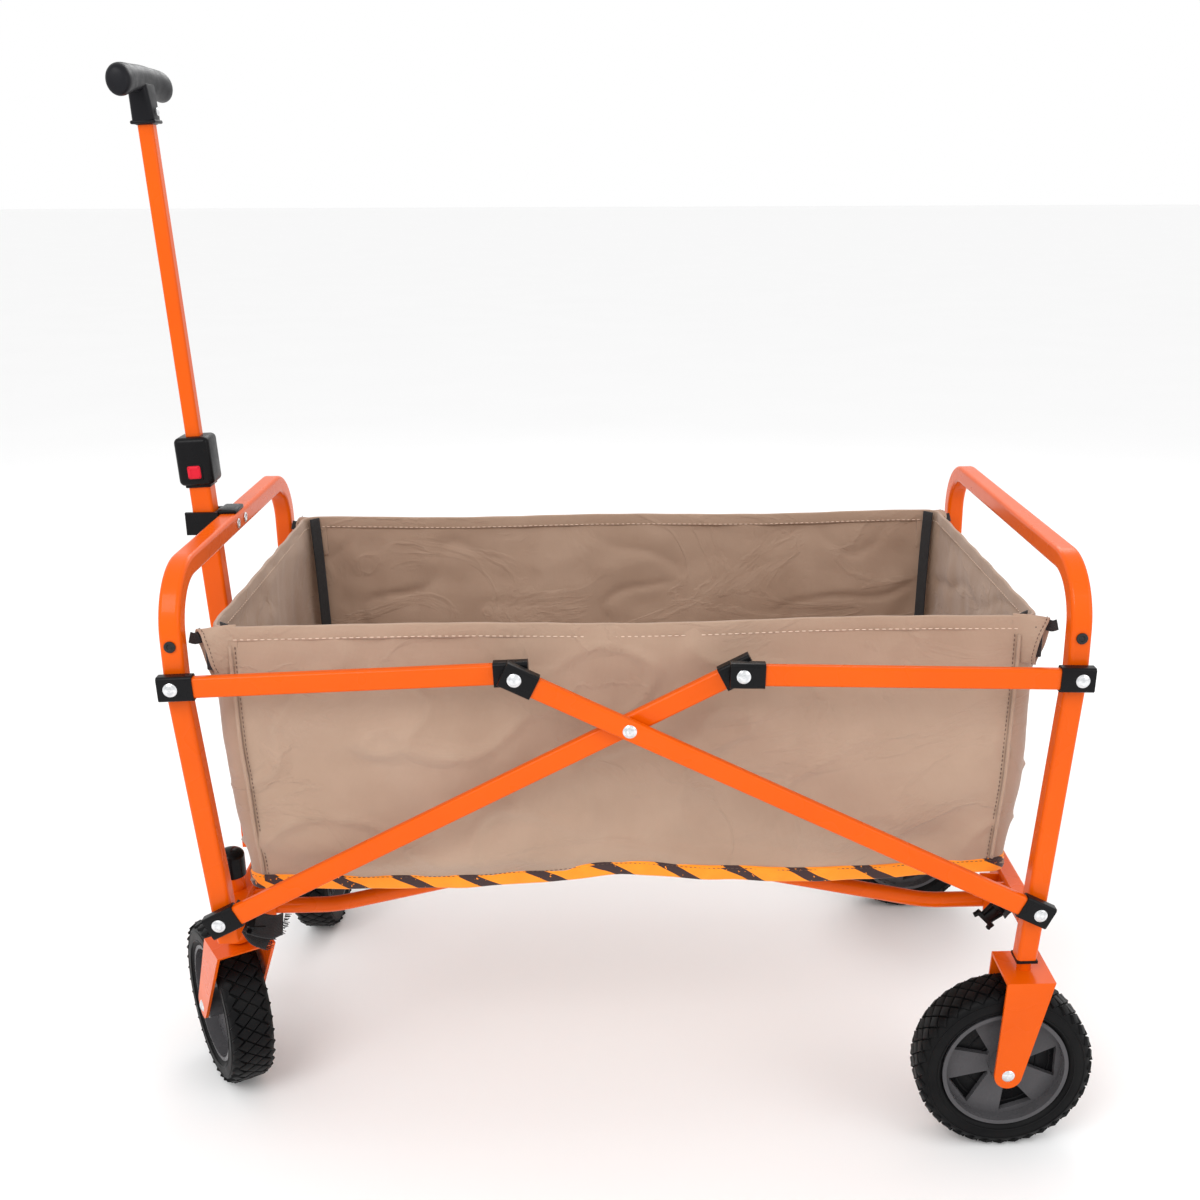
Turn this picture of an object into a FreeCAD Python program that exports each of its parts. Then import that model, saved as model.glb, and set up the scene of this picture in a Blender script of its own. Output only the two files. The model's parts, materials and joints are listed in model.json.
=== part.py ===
"""Folding wagon with a pull handle.

Two bent-tube end frames are joined by a scissor of bars on each side, by hinged side
links and by hinged floor rails. A fabric bag hangs between the frames. The front frame
stands on two casters and carries the telescopic handle; the rear frame stands on two
fixed forks.

Millimetres. X runs along the wagon with the handle at -X, Z is up, and the near side is
at -Y. The ground is z = 0. On export the whole wagon is moved so that the origin is in
the middle of the ground rectangle that it covers.
"""
import FreeCAD, Part
import math
import os

import Sketcher
from FreeCAD import Placement, Rotation, Vector

SHEET = "Sizes"
NEAR, FAR = -1, 1
FRONT, REAR = -1, 1

# name, value, what it is
SIZES = [
    # running gear
    ("wheel_radius", 90, "tyre, outside"),
    ("tyre_width", 46, "tyre"),
    ("tyre_shoulder", 8, "chamfer between tread and sidewall"),
    ("rim_radius", 64, "rim, where the tyre sits"),
    ("rim_width", 40, "rim"),
    ("rim_wall", 4, "rim barrel"),
    ("web_width", 14, "spoked disc of the rim"),
    ("hub_radius", 15, "hub, outside"),
    ("hub_gap", 1.5, "between hub and fork, each side"),
    ("window_count", 5, "openings between the spokes"),
    ("window_inner", 18, "opening, distance from the axle"),
    ("window_outer", 57, "opening, distance from the axle"),
    ("window_half_angle", 18, "opening, half its angle at the rim, degrees"),
    ("window_tip", 3, "opening, width at its inner end"),
    ("bolt_radius", 4, "axle bolt"),
    ("bolt_head_radius", 6.5, "axle bolt head"),
    ("bolt_head_high", 2.5, "axle bolt head"),
    ("running_gap", 0.1, "radial clearance of every pivot"),
    # forks
    ("crown_top_z", 196, "top of the fork crowns"),
    ("crown_length", 48, "along the wheel"),
    ("tyre_gap", 4, "between tyre and fork, each side"),
    ("fork_plate", 3, "sheet thickness"),
    ("fork_end_radius", 14, "round end at the axle"),
    ("rear_axle_offset", 16, "axle ahead of the rear post"),
    ("caster_trail", 70, "axle behind the swivel axis"),
    ("near_caster_angle", 121, "direction in which the near caster trails, degrees"),
    ("far_caster_angle", 88, "direction in which the far caster trails, degrees"),
    ("stem_gap", 1.5, "between fork stem and the inside of a rear post"),
    ("rear_stem_up", 12, "rear stem inside the post"),
    ("plug_size", 21, "plug under the rear posts"),
    ("plug_high", 3, "plug under the rear posts"),
    # end frames
    ("post_size", 20, "square tube of the hoops"),
    ("post_corner", 4, "outside corner of that tube"),
    ("tube_wall", 1.5, "steel tubes"),
    ("post_bottom_z", 209, "lower end of the posts"),
    ("foot_trim", 8, "tube trimmed level at the feet of the posts"),
    ("pivot_low_x", 396, "lower pivots, from the middle"),
    ("pivot_low_z", 267, "lower pivots"),
    ("pivot_high_x", 416, "upper pivots, from the middle"),
    ("pivot_high_z", 509, "upper pivots"),
    ("hoop_top_z", 606, "hoop bar, centre line"),
    ("hoop_bend", 55, "bend of the hoop, centre line"),
    ("lean_bend", 120, "slight bend at the upper pivots"),
    ("front_half_width", 226, "front posts, centre, from the middle"),
    ("layer_pitch", 14, "one layer of bars; the rear frame is this much wider each side"),
    ("front_post_bottom_z", 240, "lower end of the front posts"),
    ("cross_tube_z", 248, "cross tubes, centre"),
    ("cross_tube_size", 20, "cross tubes"),
    # scissor bars and side links
    ("bar_high", 20, "bars and links"),
    ("bar_thick", 10, "bars and links"),
    ("bar_corner", 3, "bars and links"),
    ("bar_wall", 1.2, "bars and links"),
    ("cap_high", 24, "plastic end caps"),
    ("cap_thick", 13, "plastic end caps"),
    ("cap_corner", 3, "plastic end caps"),
    ("cap_out", 12, "cap beyond the pivot"),
    ("cap_in", 20, "cap over the bar"),
    ("layer_gap", 0.5, "between a cap and what it turns against"),
    ("scissor_z", 466, "centre pivot of the scissor"),
    ("knee_x", 104, "knee pivots, from the middle"),
    ("rivet_radius", 3, "rivet shank"),
    ("rivet_head_radius", 6.5, "rivet head"),
    ("rivet_head_high", 2, "rivet head"),
    # floor rails
    ("rail_radius", 8, "round tube"),
    ("rail_wall", 1.2, "round tube"),
    ("rail_half_gap", 150, "front rails, from the middle plane"),
    ("rail_pivot_x", 374, "rail hinges, from the middle"),
    ("rail_pivot_z", 232, "rail hinges"),
    ("rail_end", 5, "rail beyond its hinge"),
    ("rail_flat_x", 306, "end of the level stretch, from the middle"),
    ("rail_arch_x", 64, "start of the top stretch, from the middle"),
    ("rail_arch_z", 284, "start of the top stretch"),
    ("rail_knee_z", 287, "centre of the rail at mid length"),
    ("rail_over", 12, "rail past mid length"),
    ("rail_bend", 150, "bends of the rail"),
    ("rail_side_gap", 1, "between the two halves of a rail"),
    ("rail_pin_radius", 3, "rail hinge pins"),
    ("lug_plate", 3, "rail hinge lugs"),
    ("lug_gap", 0.5, "between a rail and its lugs"),
    ("lug_low", 9, "lug below the hinge"),
    ("lug_up", 24, "lug above the hinge"),
    ("lug_nose", 9, "lug beyond the hinge"),
    # casters
    ("caster_x", 406, "swivel axes, from the middle"),
    ("caster_half_gap", 157, "swivel axes, from the middle plane"),
    ("head_radius", 12, "swivel head tube"),
    ("head_bottom_z", 199, "swivel head tube"),
    ("head_top_z", 281, "swivel head tube"),
    ("head_cap_radius", 13.5, "cap on the head tube"),
    ("head_cap_sleeve", 8, "cap over the head tube"),
    ("head_cap_high", 28, "cap, in all but the last of its dome"),
    ("stem_over", 5, "caster stem above the head tube"),
    # handle
    ("handle_x", 425, "handle hinge, from the middle"),
    ("hinge_pin_radius", 4, "handle hinge pin"),
    ("handle_z", 246, "handle hinge"),
    ("handle_lean", 2.7, "handle leans outwards, degrees"),
    ("outer_tube", 22, "square lower tube"),
    ("inner_tube", 15, "square upper tube"),
    ("outer_tube_top", 436, "lower tube above its hinge"),
    ("outer_tube_below", 9, "lower tube below its hinge"),
    ("handle_corner", 3, "corners of both handle tubes"),
    ("collar_low", 401, "collar, from the hinge"),
    ("collar_high", 452, "collar, from the hinge"),
    ("collar_size", 38, "collar along the wagon"),
    ("collar_width", 36, "collar across the wagon"),
    ("collar_corner", 7, "collar"),
    ("collar_fit", 0.3, "between the collar and the tubes"),
    ("button_radius", 6.5, "push button"),
    ("button_up", 17, "push button above the lower edge of the collar"),
    ("button_out", 3, "push button stands out"),
    ("button_deep", 6.5, "push button length"),
    ("inner_tube_low", 320, "lower end of the upper tube, from the hinge"),
    ("inner_tube_high", 775, "upper end of the upper tube, from the hinge"),
    ("neck_low", 757, "neck sleeve, from the hinge"),
    ("neck_high", 784, "neck sleeve, from the hinge"),
    ("neck_size", 25, "neck sleeve"),
    ("grip_up", 794, "grip axis, from the hinge"),
    ("grip_length", 138, "grip"),
    ("grip_radius", 14, "grip in the middle"),
    ("grip_end_radius", 18, "grip at its ends"),
    ("bracket_plate", 3, "handle hinge bracket"),
    ("bracket_high", 32, "handle hinge bracket"),
    ("bracket_nose", 11, "bracket beyond the hinge pin"),
    ("bracket_gap", 0.5, "between the bracket and the handle"),
    ("clip_high", 24, "handle clip"),
    ("clip_arm", 4, "handle clip"),
    ("clip_gap", 0.6, "between the clip and the handle"),
    ("clip_reach", 34, "clip ahead of the hoop bar"),
    # bag
    ("bag_top_x", 394, "bag at its top edge, from the middle"),
    ("bag_low_x", 370, "bag at its floor, from the middle"),
    ("bag_half_width", 211, "bag, from the middle plane"),
    ("bag_top_z", 563, "bag, top edge"),
    ("bag_low_z", 284, "lower edge of the side panels"),
    ("floor_z", 298, "under side of the bag floor"),
    ("bag_wall", 3, "padded fabric"),
    ("panel_gap", 0.3, "between the panels"),
    ("mat_thick", 6, "floor mat"),
    ("mat_clear", 6, "mat inside the bag"),
    ("mat_boards", 4, "boards of the mat"),
    ("mat_fold_gap", 4, "fold between two boards"),
    # webbing and small parts
    ("web_strap_wide", 20, "webbing"),
    ("web_strap_thick", 1.6, "webbing"),
    ("strap_out", 2.4, "corner straps outside the bag"),
    ("tie_long", 22, "loose end of the front tie strap"),
    ("tie_wide", 26, "loose end of the front tie strap"),
    ("tie_hang", 34, "loose end of the front tie strap"),
    ("tie_y", 192, "front tie strap, from the middle plane"),
    ("buckle_web", 8, "webbing of the buckle"),
    ("buckle_long", 34, "buckle"),
    ("buckle_thick", 7, "buckle"),
    ("buckle_y", 216, "buckle, from the middle plane"),
    ("screw_radius", 5.5, "screw heads"),
    ("screw_high", 1.2, "screw heads"),
    ("hoop_screw_z", 546, "screws in the hoops"),
    ("socket_head_high", 2, "socket screws in the hoops"),
    ("socket_radius", 2.5, "socket screws in the hoops"),
    ("clip_screw_gap", 14, "clip screws, from the middle plane"),
]

doc = FreeCAD.newDocument("FoldingWagon")
sheet = doc.addObject("Spreadsheet::Sheet", SHEET)
for row, (alias, number, meaning) in enumerate(SIZES, start=1):
    sheet.set(f"A{row}", alias)
    sheet.set(f"B{row}", str(number))
    sheet.setAlias(f"B{row}", alias)
    sheet.set(f"C{row}", meaning)
doc.recompute()


class Size:
    """A length or an angle: its number now, and the expression that keeps it bound."""

    def __init__(self, number, text=None):
        self.number = float(number)
        self.text = text or repr(float(number))

    def _with(self, other, sign, operation):
        other = other if isinstance(other, Size) else Size(other)
        number = operation(self.number, other.number)
        return Size(number, f"({self.text} {sign} {other.text})")

    def __add__(self, other):
        return self._with(other, "+", lambda a, b: a + b)

    def __sub__(self, other):
        return self._with(other, "-", lambda a, b: a - b)

    def __mul__(self, other):
        return self._with(other, "*", lambda a, b: a * b)

    def __truediv__(self, other):
        return self._with(other, "/", lambda a, b: a / b)

    def __neg__(self):
        return self * -1

    __radd__ = __add__
    __rmul__ = __mul__


class Sheet:
    """The cells of the sheet as attributes: size.wheel_radius and so on."""

    def __getattr__(self, alias):
        return Size(sheet.get(alias), f"{SHEET}.{alias}")


size = Sheet()
ZERO = Size(0)


def sine(angle):
    return Size(math.sin(math.radians(angle.number)), f"sin({angle.text} * 1deg)")


def cosine(angle):
    return Size(math.cos(math.radians(angle.number)), f"cos({angle.text} * 1deg)")


def arctangent(slope):
    return Size(math.degrees(math.atan(slope.number)), f"(atan({slope.text}) / 1deg)")


def root(square):
    return Size(math.sqrt(square.number), f"sqrt({square.text})")


# ---------------------------------------------------------------- document helpers
def bind(thing, **properties):
    """Sets each property to its number and binds it to its expression."""
    for name, length in properties.items():
        length = length if isinstance(length, Size) else Size(length)
        setattr(thing, name, length.number)
        thing.setExpression(name, length.text)
    return thing


def place(thing, x=ZERO, y=ZERO, z=ZERO, turn=ZERO, axis="0; 1; 0"):
    """Binds the Placement: a turn in degrees about an axis, then a shift."""
    x, y, z, turn = (v if isinstance(v, Size) else Size(v) for v in (x, y, z, turn))
    spin = f"rotation(vector({axis}); {turn.text})"
    thing.setExpression("Placement", f"placement(vector({x.text}; {y.text}; {z.text}); {spin})")
    return thing


def block(name, dx, dy, dz, x=ZERO, y=ZERO, z=ZERO):
    """A box centred on x, y, z."""
    box = bind(doc.addObject("Part::Box", name), Length=dx, Width=dy, Height=dz)
    return place(box, x - dx / 2, y - dy / 2, z - dz / 2)


def rod(name, radius, length, x=ZERO, y=ZERO, z=ZERO, along="Y"):
    """A cylinder centred on x, y, z along one axis."""
    bar = bind(doc.addObject("Part::Cylinder", name), Radius=radius, Height=length)
    if along == "Z":
        return place(bar, x, y, z - length / 2)
    if along == "X":
        return place(bar, x - length / 2, y, z, Size(90))
    return place(bar, x, y + length / 2, z, Size(90), "1; 0; 0")


def cut(name, base, *tools):
    for number, tool in enumerate(tools):
        piece = doc.addObject("Part::Cut", f"{name}_cut{number}")
        piece.Base, piece.Tool = base, tool
        base = piece
    return base


def fuse(name, *pieces):
    joined = doc.addObject("Part::MultiFuse", f"{name}_fuse")
    joined.Shapes = list(pieces)
    return joined


def mirror(piece):
    """The same piece on the other side of the middle plane."""
    other = doc.addObject("Part::Mirroring", f"{piece.Name}_far")
    other.Source = piece
    other.Normal = Vector(0, 1, 0)
    return other


def group(name, *pieces):
    together = doc.addObject("Part::Compound", f"{name}_group")
    together.Links = list(pieces)
    return together


def feature(name, shape):
    """A shape made with Part's own functions, from sizes read off the sheet."""
    piece = doc.addObject("Part::Feature", name)
    piece.Shape = shape
    piece.Placement = Placement()
    return piece


nodes = []


def keep(node, piece):
    """Names the finished sub-part; its Label names its file."""
    piece.Label = node
    nodes.append(piece)
    return piece


# ---------------------------------------------------------------- sketch helpers
def new_body(name):
    return doc.addObject("PartDesign::Body", name)


def new_sketch(body, plane, name):
    sketch = body.newObject("Sketcher::SketchObject", f"{body.Name}_{name}")
    origin = [item for item in body.Origin.OriginFeatures if item.Role == plane]
    sketch.AttachmentSupport = [(origin[0], "")]
    sketch.MapMode = "FlatFace"
    return sketch


def fix_point(sketch, line, end, x, y):
    """Ties one end of a sketch line to its place."""
    for kind, length in (("DistanceX", x), ("DistanceY", y)):
        index = sketch.addConstraint(Sketcher.Constraint(kind, -1, 1, line, end, length.number))
        sketch.setExpression(f"Constraints[{index}]", length.text)


def polygon(sketch, corners):
    """A closed outline of straight lines through (x, y) sizes."""
    corners = [tuple(v if isinstance(v, Size) else Size(v) for v in c) for c in corners]
    first = sketch.GeometryCount
    for here, there in zip(corners, corners[1:] + corners[:1]):
        start = Vector(here[0].number, here[1].number, 0)
        end = Vector(there[0].number, there[1].number, 0)
        sketch.addGeometry(Part.LineSegment(start, end))
    count = len(corners)
    for i in range(count):
        after = first + (i + 1) % count
        sketch.addConstraint(Sketcher.Constraint("Coincident", first + i, 2, after, 1))
    for i, (x, y) in enumerate(corners):
        fix_point(sketch, first + i, 1, x, y)


def rounded_rectangle(sketch, width, height, corner):
    """A centred rectangle with round corners."""
    first = sketch.GeometryCount
    w, h, r = width.number / 2, height.number / 2, corner.number
    sides = [((-w + r, -h), (w - r, -h)), ((w, -h + r), (w, h - r)),
             ((w - r, h), (-w + r, h)), ((-w, h - r), (-w, -h + r))]
    for start, end in sides:
        sketch.addGeometry(Part.LineSegment(Vector(*start, 0), Vector(*end, 0)))
    centres = [(w - r, -h + r), (w - r, h - r), (-w + r, h - r), (-w + r, -h + r)]
    for i, centre in enumerate(centres):
        circle = Part.Circle(Vector(*centre, 0), Vector(0, 0, 1), r)
        start = (i - 1) * math.pi / 2
        sketch.addGeometry(Part.ArcOfCircle(circle, start, start + math.pi / 2))
    for i in range(4):
        line, arc, after = first + i, first + 4 + i, first + (i + 1) % 4
        sketch.addConstraint(Sketcher.Constraint("Tangent", line, 2, arc, 1))
        sketch.addConstraint(Sketcher.Constraint("Tangent", arc, 2, after, 1))
        level = "Horizontal" if i % 2 == 0 else "Vertical"
        sketch.addConstraint(Sketcher.Constraint(level, line))
        if i:
            sketch.addConstraint(Sketcher.Constraint("Equal", first + 4, arc))
    sketch.addConstraint(Sketcher.Constraint("Symmetric", first + 4, 3, first + 6, 3, -1, 1))
    dimensions = [
        (Sketcher.Constraint("Radius", first + 4, r), corner),
        (Sketcher.Constraint("DistanceX", first + 3, 1, first + 1, 1, width.number), width),
        (Sketcher.Constraint("DistanceY", first, 1, first + 2, 1, height.number), height),
    ]
    for constraint, length in dimensions:
        index = sketch.addConstraint(constraint)
        sketch.setExpression(f"Constraints[{index}]", length.text)


def pad(body, sketch, length):
    solid = body.newObject("PartDesign::Pad", f"{body.Name}_pad")
    solid.Profile = sketch
    solid.SideType = "Symmetric"
    return bind(solid, Length=length)


def tube(name, plane, width, height, corner, wall, length):
    """A straight tube with round corners, centred on the origin, across the plane."""
    body = new_body(name)
    sketch = new_sketch(body, plane, "section")
    rounded_rectangle(sketch, width, height, corner)
    if wall is not None:
        rounded_rectangle(sketch, width - wall * 2, height - wall * 2, corner - wall)
    pad(body, sketch, length)
    return body


def revolved(name, outline):
    """A closed outline of (radius, along) turned about the Y axis."""
    body = new_body(name)
    sketch = new_sketch(body, "XY_Plane", "outline")
    polygon(sketch, outline)
    turned = body.newObject("PartDesign::Revolution", f"{name}_turned")
    turned.Profile = sketch
    turned.ReferenceAxis = (sketch, ["V_Axis"])
    turned.Angle = 360
    return body


# ---------------------------------------------------------------- derived places
rear_half_width = size.front_half_width + size.layer_pitch
half_post = size.post_size / 2
stem_radius = half_post - size.tube_wall - size.stem_gap
fork_room = size.tyre_width + size.tyre_gap * 2
crown_width = fork_room + size.fork_plate * 2
hub_length = fork_room - size.hub_gap * 2
lean = arctangent((size.pivot_high_x - size.pivot_low_x) / (size.pivot_high_z - size.pivot_low_z))
bar_rise = size.scissor_z - size.pivot_low_z
bar_angle = arctangent(bar_rise / size.pivot_low_x)
half_bar = root(bar_rise * bar_rise + size.pivot_low_x * size.pivot_low_x)
knee_arm = size.knee_x / cosine(bar_angle)
knee_z = size.scissor_z + bar_rise * size.knee_x / size.pivot_low_x
link_run = size.pivot_high_x - size.knee_x
link_rise = knee_z - size.pivot_high_z
link_length = root(link_run * link_run + link_rise * link_rise)
link_angle = arctangent(link_rise / link_run)
inner_layer = size.front_half_width + half_post + size.layer_gap + size.cap_thick / 2
outer_layer = inner_layer + size.layer_pitch
outer_face = outer_layer + size.cap_thick / 2
rivet_hole = size.rivet_radius + size.running_gap
post_foot_x = size.pivot_low_x - (size.pivot_low_z - size.post_bottom_z) * (
    (size.pivot_high_x - size.pivot_low_x) / (size.pivot_high_z - size.pivot_low_z))
rear_axle_x = post_foot_x - size.rear_axle_offset
cross_tube_x = size.pivot_low_x - (size.pivot_low_z - size.cross_tube_z) * (
    (size.pivot_high_x - size.pivot_low_x) / (size.pivot_high_z - size.pivot_low_z))


# ---------------------------------------------------------------- end frames
def rounded_square_wire(centre, side, corner, across, up):
    """A square with round corners in the plane of two unit vectors."""
    half, straight = side / 2, side / 2 - corner
    diagonal = corner * math.sqrt(0.5)
    edges = []
    ring = [(across, up), (up, -across), (-across, -up), (-up, across)]
    for out, turn in ring:
        start = centre + out * half - turn * straight
        end = centre + out * half + turn * straight
        edges.append(Part.LineSegment(start, end).toShape())
        hub = centre + out * straight + turn * straight
        middle = hub + (out + turn) * diagonal
        after = centre + turn * half + out * straight
        edges.append(Part.Arc(end, middle, after).toShape())
    return Part.Wire(Part.__sortEdges__(edges))


def bent_path(points, radii):
    """Straight runs through the points, with a tangent arc at each inner point."""
    edges, start = [], points[0]
    for before, corner, after, radius in zip(points, points[1:], points[2:], radii):
        back = (before - corner).normalize()
        ahead = (after - corner).normalize()
        half_angle = back.getAngle(ahead) / 2
        reach = radius / math.tan(half_angle)
        into, out = corner + back * reach, corner + ahead * reach
        inward = (back + ahead).normalize()
        middle = corner + inward * (radius / math.sin(half_angle) - radius)
        edges.append(Part.LineSegment(start, into).toShape())
        edges.append(Part.Arc(into, middle, out).toShape())
        start = out
    edges.append(Part.LineSegment(start, points[-1]).toShape())
    return Part.Wire(edges)


def swept(path, sections, across):
    """Sweeps each section along the path, and takes the later ones out of the first."""
    solids = []
    for section in sections:
        sweep = Part.BRepOffsetAPI.MakePipeShell(path)
        sweep.setBiNormalMode(across)
        sweep.add(section)
        sweep.build()
        sweep.makeSolid()
        solids.append(sweep.shape())
    return solids[0].cut(solids[1:]) if len(solids) > 1 else solids[0]


def hoop(end, half_width, foot_z):
    """The bent square tube of one end frame, open at both feet."""
    half_width, foot_z = half_width.number, foot_z.number
    slope = math.tan(math.radians(lean.number))
    foot_x = size.pivot_low_x.number - (size.pivot_low_z.number - foot_z) * slope
    high_x, high_z = size.pivot_high_x.number, size.pivot_high_z.number
    top_z = size.hoop_top_z.number
    near_leg = [(foot_x, -half_width, foot_z), (high_x, -half_width, high_z),
                (high_x, -half_width, top_z)]
    route = near_leg + [(x, -y, z) for x, y, z in reversed(near_leg)]
    points = [Vector(end * x, y, z) for x, y, z in route]
    lean_bend, bend = size.lean_bend.number, size.hoop_bend.number
    path = bent_path(points, [lean_bend, bend, bend, lean_bend])
    along = (points[1] - points[0]).normalize()
    across = Vector(0, 1, 0)
    forward = along.cross(across)
    side, corner = size.post_size.number, size.post_corner.number
    wall = size.tube_wall.number
    sections = [rounded_square_wire(points[0], side, corner, across, forward),
                rounded_square_wire(points[0], side - 2 * wall, corner - wall, across, forward)]
    return swept(path, sections, Vector(1, 0, 0))


def post_holes(name, end, half_width):
    """Holes for the rivets, right through both posts."""
    length = half_width * 2 + size.post_size * 2
    low = rod(f"{name}_low_hole", size.rivet_radius, length, size.pivot_low_x * end, ZERO, size.pivot_low_z)
    high = rod(f"{name}_high_hole", size.rivet_radius, length, size.pivot_high_x * end, ZERO, size.pivot_high_z)
    return low, high


def dome(name, radius, high, x, y, z, side):
    """A low round head whose flat face is at y and which stands out towards side."""
    base = rod(f"{name}_disc", radius, high, x, y + high / 2 * side, z)
    ball_radius = (radius * radius + high * high) / (high * 2)
    ball = bind(doc.addObject("Part::Sphere", f"{name}_ball"), Radius=ball_radius)
    place(ball, x, y + (high - ball_radius) * side, z, Size(90), "1; 0; 0")
    head = doc.addObject("Part::Common", f"{name}_head")
    head.Base, head.Tool = base, ball
    return head


def rivet(name, x, z, inside, outside, inner_head=True):
    """A rivet on the near side, from the inner face to the outer face."""
    radius, high = size.rivet_head_radius, size.rivet_head_high
    shank = rod(f"{name}_shank", size.rivet_radius, outside - inside, x, -(inside + outside) / 2, z)
    pieces = [shank, dome(f"{name}_outer", radius, high, x, -outside, z, NEAR)]
    if inner_head:
        pieces.append(dome(f"{name}_inner", radius, high, x, -inside, z, FAR))
    return fuse(name, *pieces)


def both_sides(name, *pieces):
    """The near pieces and their mirror images as one group."""
    return group(name, *pieces, *[mirror(piece) for piece in pieces])


def end_frame(word, end, half_width, foot_z, layer):
    """Hoop, cross tube, pivot rivets and hoop screws of one end frame."""
    # The sweep leaves the two feet slanted, so it runs on a little and is trimmed level.
    bare = feature(f"{word}_hoop_bare", hoop(end, half_width, foot_z - size.foot_trim / 2))
    trim = block(f"{word}_foot_trim", size.post_size * 4, half_width * 4, size.foot_trim,
                 size.pivot_low_x * end, ZERO, foot_z - size.foot_trim / 2)
    keep(f"{word}_hoop", cut(f"{word}_hoop", bare, trim, *post_holes(word, end, half_width)))

    cross = tube(f"{word}_cross", "XZ_Plane", size.cross_tube_size, size.cross_tube_size,
                 size.post_corner, size.tube_wall, half_width * 2 - size.post_size)
    keep(f"{word}_cross_tube", place(cross, cross_tube_x * end, ZERO, size.cross_tube_z))

    inside = half_width - half_post
    outside = layer + size.cap_thick / 2 + size.layer_gap / 2
    low = rivet(f"{word}_low_rivet", size.pivot_low_x * end, size.pivot_low_z, inside, outside)
    high = rivet(f"{word}_high_rivet", size.pivot_high_x * end, size.pivot_high_z, inside, outside)
    keep(f"{word}_pivot_rivets", both_sides(f"{word}_rivets", low, high))

    head_y = -(half_width + half_post + size.socket_head_high / 2)
    spot = (size.pivot_high_x * end, head_y, size.hoop_screw_z)
    head = rod(f"{word}_screw_head", size.screw_radius, size.socket_head_high, *spot)
    socket_y = head_y - size.socket_head_high / 2
    screw = cut(f"{word}_screw", head, rod(f"{word}_socket", size.socket_radius, size.socket_head_high,
                                           spot[0], socket_y, spot[2]))
    keep(f"{word}_hoop_screws", both_sides(f"{word}_screws", screw))


end_frame("front", FRONT, size.front_half_width, size.front_post_bottom_z, inner_layer)
end_frame("rear", REAR, rear_half_width, size.post_bottom_z, outer_layer)


# ---------------------------------------------------------------- bars and links
def cap(name, from_x, to_x):
    """A plastic sleeve around the end of a bar that lies along X, with its bar hole."""
    shell = tube(f"{name}_shell", "YZ_Plane", size.cap_thick, size.cap_high, size.cap_corner,
                 None, to_x - from_x)
    place(shell, (from_x + to_x) / 2)
    return shell


def bar(word, length, start_hole, end_hole, middle_hole=None):
    """A near-side bar along +X from its first pivot, and the caps on its two ends.

    Each hole is the radius that its rivet needs: the shank's own, or with clearance.
    """
    core = tube(f"{word}_core", "YZ_Plane", size.bar_thick, size.bar_high, size.bar_corner,
                size.bar_wall, length + size.cap_out)
    place(core, length / 2)
    start_cap = cap(f"{word}_start", -size.cap_out, size.cap_in)
    end_cap = cap(f"{word}_end", length - size.cap_in, length + size.cap_out)
    filler = tube(f"{word}_filler", "YZ_Plane", size.bar_thick, size.bar_high, size.bar_corner,
                  None, length + size.cap_out)
    place(filler, length / 2)
    deep = size.cap_thick * 2
    drills = [rod(f"{word}_start_drill", start_hole, deep), rod(f"{word}_end_drill", end_hole, deep, length)]
    caps = [cut(f"{word}_start_cap", start_cap, filler, drills[0]),
            cut(f"{word}_end_cap", end_cap, filler, drills[1])]
    if middle_hole is not None:
        drills.append(rod(f"{word}_middle_drill", middle_hole[0], deep, middle_hole[1]))
    return cut(f"{word}_bar", core, *drills), caps


def hinged_bar(word, node, pivot_x, pivot_z, layer, turn, length, holes, middle=None):
    """Places one bar and its caps on both sides of the wagon; returns the near bar."""
    core, caps = bar(word, length, *holes, middle)
    pieces = []
    for number, piece in enumerate([core] + caps):
        holder = doc.addObject("Part::Compound", f"{word}_placed{number}")
        holder.Links = [piece]
        pieces.append(place(holder, pivot_x, -layer, pivot_z, turn))
    keep(f"{node}_caps", both_sides(f"{word}_caps", *pieces[1:]))
    return pieces[0]


tight, loose = size.rivet_radius, rivet_hole
scissor_length = half_bar + knee_arm
bar_a = hinged_bar("scissor_a", "scissor_bar_a", size.pivot_low_x, size.pivot_low_z, outer_layer,
                   bar_angle + 180, scissor_length, (loose, tight), (tight, half_bar))
bar_b = hinged_bar("scissor_b", "scissor_bar_b", -size.pivot_low_x, size.pivot_low_z, inner_layer,
                   -bar_angle, scissor_length, (loose, tight), (loose, half_bar))
for node, near_bar in (("scissor_bar_a", bar_a), ("scissor_bar_b", bar_b)):
    keep(f"{node}_near", near_bar)
    keep(f"{node}_far", mirror(near_bar))
front_link = hinged_bar("front_link", "front_side_link", -size.pivot_high_x, size.pivot_high_z,
                        inner_layer, -link_angle, link_length, (loose, tight))
rear_link = hinged_bar("rear_link", "rear_side_link", size.pivot_high_x, size.pivot_high_z,
                       outer_layer, link_angle + 180, link_length, (loose, tight))
keep("front_side_links", both_sides("front_links", front_link))
keep("rear_side_links", both_sides("rear_links", rear_link))

# The knee rivets stay in the outer layer, where the linkage is left open.
half_cap, half_bar_thick = size.cap_thick / 2, size.bar_thick / 2
head_gap = size.layer_gap / 2
centre_rivet = rivet("centre", ZERO, size.scissor_z, inner_layer - half_bar_thick - head_gap,
                     outer_layer + half_bar_thick)
front_knee = rivet("front_knee", -size.knee_x, knee_z, outer_layer - half_cap, outer_layer + half_cap, False)
rear_knee = rivet("rear_knee", size.knee_x, knee_z, outer_layer - half_cap, outer_layer + half_cap, False)
keep("scissor_rivets", both_sides("scissor_rivets", centre_rivet, front_knee))
keep("rear_knee_rivets", both_sides("rear_knee_rivets", rear_knee))


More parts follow.
